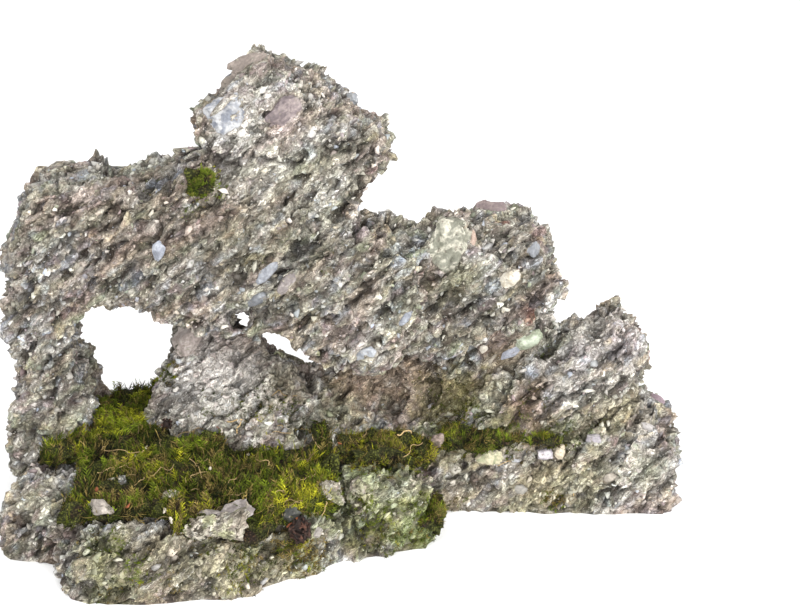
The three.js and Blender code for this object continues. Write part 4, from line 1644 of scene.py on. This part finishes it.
class ROCK_OT_stone(Operator):
    """Model the stone's rough skin and its large clasts"""

    bl_idname = "mossy_rock.stone"
    bl_label = "Stone"

    def execute(self, context):
        noise.seed_set(NOISE_SEED)
        mesh, Made.skin = stone_skin()
        mesh.set_sharp_from_angle(angle=SKIN_SHARP)
        mesh.materials.append(skin_material())
        finish_piece(new_object("stone", mesh), ["rock"])
        Made.ground = ground_surface()
        for name in CLASTS:
            clast(name, Made.ground)
        rough = lump_material()
        for name, (pixel, size, turn) in LUMPS.items():
            obj = lump(name, Made.ground, pixel, size, turn, LUMP_BUMPS)
            obj.data.materials.append(rough)
            finish_piece(obj)
        return {"FINISHED"}


class ROCK_OT_grit(Operator):
    """Scatter angular grains over the stone, with their tints"""

    bl_idname = "mossy_rock.grit"
    bl_label = "Grit"

    def execute(self, context):
        grit = settings("grit")
        random = np.random.default_rng(GRIT_SEED)
        covered = self.bare_share()
        material = grain_material()
        chips = [chip_shape(random, 11) for _ in range(10)]
        crumbs = [chip_shape(random, 6) for _ in range(10)]
        self.grains("grit_coarse", chips, grit.coarse_count, grit.coarse_least, grit.coarse_most,
                    covered, random, material)
        self.grains("grit_fine", crumbs, grit.fine_count, grit.fine_least, grit.fine_most,
                    covered, random, material)
        return {"FINISHED"}

    def bare_share(self):
        """1 where the skin is bare and 0 under the moss and on the underside."""
        bare = (Made.skin.points[:, 2] > UNDERSIDE).astype(float)
        for name in MOSS_NODES:
            low, high = (np.array(corner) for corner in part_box(name))
            near = Made.skin.points > low - 2 * MM
            near = np.all(near & (Made.skin.points < high + 2 * MM), axis=1)
            cushion = Surface(remeshed_node(name, COVER_FACET, 0))
            for number in np.flatnonzero(near):
                _, _, _, far = cushion.tree.find_nearest(Vector(Made.skin.points[number]))
                if far < UNDER_MOSS:
                    bare[number] = 0.0
        for pixel, radius in OPEN_WAYS:
            bare *= smooth(off_sight(Made.skin.points, pixel) / (radius * MM), 0.8, 1.05)
        bare *= 1 - np.minimum(crack_depth(Made.skin) / (2 * MM), 1.0)
        return bare * (1 - 0.6 * Made.skin.worn) * (1 - 0.9 * Made.skin.bedded)

    def grains(self, name, shapes, count, least, most, bare, random, material):
        """Grains of a few shapes that lie along the beds, in the colours of the stone there."""
        stone = settings("stone")
        places, normals, corners = Made.skin.scattered(count, random, bare)
        size = least + (most - least) * random.random((count, 1)) ** 2.4
        axes = unit(normals + random.normal(0, 0.4, normals.shape))
        across = np.array(bed_normal(stone.bed_dip))
        beds = np.cross(normals, across) + random.normal(0, 0.4, normals.shape)
        sizes = size * random.uniform(0.75, 1.3, (count, 3))
        turns = turns_to(axes, random, sizes, lean=beds)
        palette = np.array([tuple(getattr(stone, kind)) for kind in GRAIN_SHARES])
        picks = random.choice(len(palette), count, p=list(GRAIN_SHARES.values()))
        colours = palette[picks] * random.uniform(0.6, 1.12, (count, 1)) * Made.tone[corners]
        # The grains take on the stone's tints there, including their painted shade and painted light.
        tint, share = Made.shares
        grey = colours.mean(1, keepdims=True) / np.mean(tuple(stone.cement))
        colours = mixed(colours, tint[corners] * (0.4 + 0.6 * grey), 0.75 * share[corners])
        shape_picks = random.integers(0, len(shapes), count)
        obj = joined(name, shapes, shape_picks, turns, places - 0.1 * size * normals, colours)
        obj.data.materials.append(material)
        finish_piece(obj)


class ROCK_OT_moss(Operator):
    """Grow the cushions of moss in place of their plain solids"""

    bl_idname = "mossy_rock.moss"
    bl_label = "Moss"

    def execute(self, context):
        moss = settings("moss")
        noise.seed_set(NOISE_SEED)
        random = np.random.default_rng(MOSS_SEED)
        fronds = [frond_shape(random, 13) for _ in range(8)]
        threads = [thread_shape(random) for _ in range(6)]
        stars = [star_shape(random) for _ in range(6)]
        leaf, soil = moss_material(), soil_material()
        full = moss.frond_length
        for name, (long, plain, short, size, bright, dry) in CUSHIONS.items():
            surface = uneven(Surface(remeshed_node(name, CUSHION_FACET, 4)))
            over, feathered = self.cover(surface)
            pieces = [
                grow(name + "_fronds", surface, fronds, long, size * full, (0.55, 1.1), random,
                     (bright + 0.2, dry, 0.7, 0.8, 0.15, 1.0), feathered),
                grow(name + "_threads", surface, threads, plain, size * full, (0.2, 0.55), random,
                     (bright, dry, 0.4, 0.2, 0.12, 0.5), over),
                grow(name + "_shoots", surface, stars, short, moss.shoot_length, (0.3, 0.62),
                     random, (bright - 0.1, dry, 1.6, 0.2, 0.2, 0.5), over),
            ]
            for piece in pieces:
                piece.data.materials.append(leaf)
            mat = moss_mat(name + "_mat", name)
            mat.data.materials.append(soil)
            for piece in [*pieces, mat]:
                finish_piece(piece, [name])
        loose = sprigs(Made.skin, stars, random)
        loose.data.materials.append(leaf)
        finish_piece(loose)
        return {"FINISHED"}

    def cover(self, surface):
        """How densely shoots stand at each corner of a cushion, and how densely long fronds do."""
        over = smooth(surface.normals[:, 2] - 0.4 * surface.normals[:, 1], -0.2, 0.4)
        gaps = field(surface.points, 0.012) + 0.5 * field(surface.points, 0.005)
        over = over * (0.06 + 0.94 * smooth(gaps, -0.3, 0.15))
        over = over * (1 - 0.88 * parted(surface.points))
        return over, over * (0.12 + moss_fields(surface.points)[2])


class ROCK_OT_litter(Operator):
    """Lay the bark chips, stems and flakes in the moss"""

    bl_idname = "mossy_rock.litter"
    bl_label = "Litter"

    def execute(self, context):
        random = np.random.default_rng(LITTER_SEED)
        scales = [flake_shape(random) for _ in range(6)]
        wood = litter_material("bark", 0.85)
        for node_name in ("bark_left", "bark_front"):
            obj = bark_chip(node_name + "_chip", node_name, scales, random)
            obj.data.materials.append(wood)
            finish_piece(obj, [node_name])
        straw = litter_material("straw", 0.8)
        self.stems(random, straw)
        self.flakes(scales, random, straw)
        return {"FINISHED"}

    def flakes(self, shapes, random, material):
        """Flakes and pale crumbs that lie on the moss and the stone."""
        litter = settings("litter")
        pieces = [(*flake, litter.flake) for flake in FLAKES]
        pieces += [(*crumb, litter.crumb) for crumb in CRUMBS]
        count = len(pieces)
        seen = [Made.ground.seen(pixel) for pixel, _, _ in pieces]
        places = np.array([spot[0] for spot in seen]) + (0, 0, 0.5 * MM)
        axes = unit(np.array([spot[1] for spot in seen]) + random.normal(0, 0.3, (count, 3)))
        sizes = np.array([[size * MM] * 3 for _, size, _ in pieces])
        colours = np.array([tuple(shade) for _, _, shade in pieces])
        colours = colours * random.uniform(0.75, 1.15, (count, 1))
        obj = joined("flakes", shapes, np.arange(count) % len(shapes),
                     turns_to(axes, random, sizes), places, colours)
        obj.data.materials.append(material)
        finish_piece(obj)

    def stems(self, random, material):
        """The stems that the photograph shows, and shorter ones between them."""
        litter = settings("litter")
        lines = list(STEMS)
        for _ in range(litter.loose_stems):
            start = random.uniform(*LOOSE_STEMS)
            end = start + random.normal(0, 1, 2) * LOOSE_REACH
            lines.append((start.tolist(), end.tolist(), random.uniform(*LOOSE_THICKNESS), LOOSE_RISE,
                          random.uniform(*LOOSE_TONE)))
        bm = bmesh.new()
        colours = []
        for start, end, thickness, rise, tone in lines:
            first, last = (Made.ground.seen(pixel)[0] for pixel in (start, end))
            if (last - first).length > LONGEST_STEM:
                continue
            piece = thread(first, last, thickness, rise, random)
            colours += [[tone * c for c in litter.straw]] * len(piece.vertices)
            bm.from_mesh(piece)
            bpy.data.meshes.remove(piece)
        mesh = mesh_of("stems", bm)
        paint(mesh, "tint", np.array(colours))
        mesh.materials.append(material)
        finish_piece(new_object("stems", mesh))


class ROCK_OT_stage(Operator):
    """Set up the pale floor, the soft light and the photograph's camera"""

    bl_idname = "mossy_rock.stage"
    bl_label = "Stage"

    def execute(self, context):
        stage = settings("stage")
        self.floor(tuple(stage.floor))
        for name, (place, width) in LAMPS.items():
            self.lamp(name, place, width, getattr(stage, name))
        world = bpy.data.worlds.new("studio")
        context.scene.world = world
        world.use_nodes = True
        world.node_tree.nodes["Background"].inputs["Color"].default_value = (1, 1, 1, 1)
        world.node_tree.nodes["Background"].inputs["Strength"].default_value = stage.sky
        context.scene.view_settings.view_transform = "Standard"
        camera = bpy.data.cameras.new("camera")
        camera.sensor_width = SENSOR_WIDTH
        camera.lens = FOCAL_PIXELS * SENSOR_WIDTH / FRAME_WIDTH
        camera.clip_end = 20.0
        obj = new_object("camera", camera)
        obj.location = camera_place()
        obj.rotation_euler = (math.pi / 2 - VIEW_ELEVATION, 0.0, 0.0)
        context.scene.camera = obj
        return {"FINISHED"}

    def floor(self, shade):
        """A wide pale floor, hardly uneven in tone."""
        bm = bmesh.new()
        bmesh.ops.create_grid(bm, x_segments=1, y_segments=1, size=FLOOR_REACH)
        mesh = mesh_of("floor", bm)
        material, tree, shader, place = new_material("floor", 0.9, 0.1)
        pale = tuple(0.985 * c for c in shade)
        tree.links.new(ramp(tree, clouds(tree, place, 6.0).outputs[0], [(0.3, pale), (0.7, shade)]),
                       shader.inputs["Base Color"])
        mesh.materials.append(material)
        new_object("floor", mesh)

    def lamp(self, name, place, width, power):
        """A soft round lamp that faces the rock."""
        light = bpy.data.lights.new(name, "AREA")
        light.energy = power
        light.shape = "DISK"
        light.size = width
        obj = new_object(name, light)
        obj.location = place
        obj.rotation_euler = (VIEW_TARGET - Vector(place)).to_track_quat("-Z", "Y").to_euler()


OPERATORS = [ROCK_OT_stone, ROCK_OT_moss, ROCK_OT_litter, ROCK_OT_grit, ROCK_OT_stage]


class ROCK_PT_panel(Panel):
    """The steps that make the rock, in order"""

    bl_idname = "ROCK_PT_panel"
    bl_label = "Mossy Rock"
    bl_space_type = "VIEW_3D"
    bl_region_type = "UI"
    bl_category = "Mossy Rock"

    def draw(self, context):
        for step in OPERATORS:
            self.layout.operator(step.bl_idname)


SETTINGS = {"stone": StoneSettings, "grit": GritSettings, "moss": MossSettings,
            "litter": LitterSettings, "stage": StageSettings}


def register():
    """Registers the settings, the steps and the panel."""
    for name, kind in SETTINGS.items():
        bpy.utils.register_class(kind)
        setattr(bpy.types.Scene, "mossy_rock_" + name, PointerProperty(type=kind))
    for kind in (*OPERATORS, ROCK_PT_panel):
        bpy.utils.register_class(kind)


def unregister():
    """Takes back what register does."""
    for kind in (ROCK_PT_panel, *reversed(OPERATORS)):
        bpy.utils.unregister_class(kind)
    for name, kind in SETTINGS.items():
        delattr(bpy.types.Scene, "mossy_rock_" + name)
        bpy.utils.unregister_class(kind)


def main():
    """Takes the steps in order."""
    register()
    for step in OPERATORS:
        area, name = step.bl_idname.split(".")
        getattr(getattr(bpy.ops, area), name)()
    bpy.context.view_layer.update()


if __name__ == "__main__":
    main()
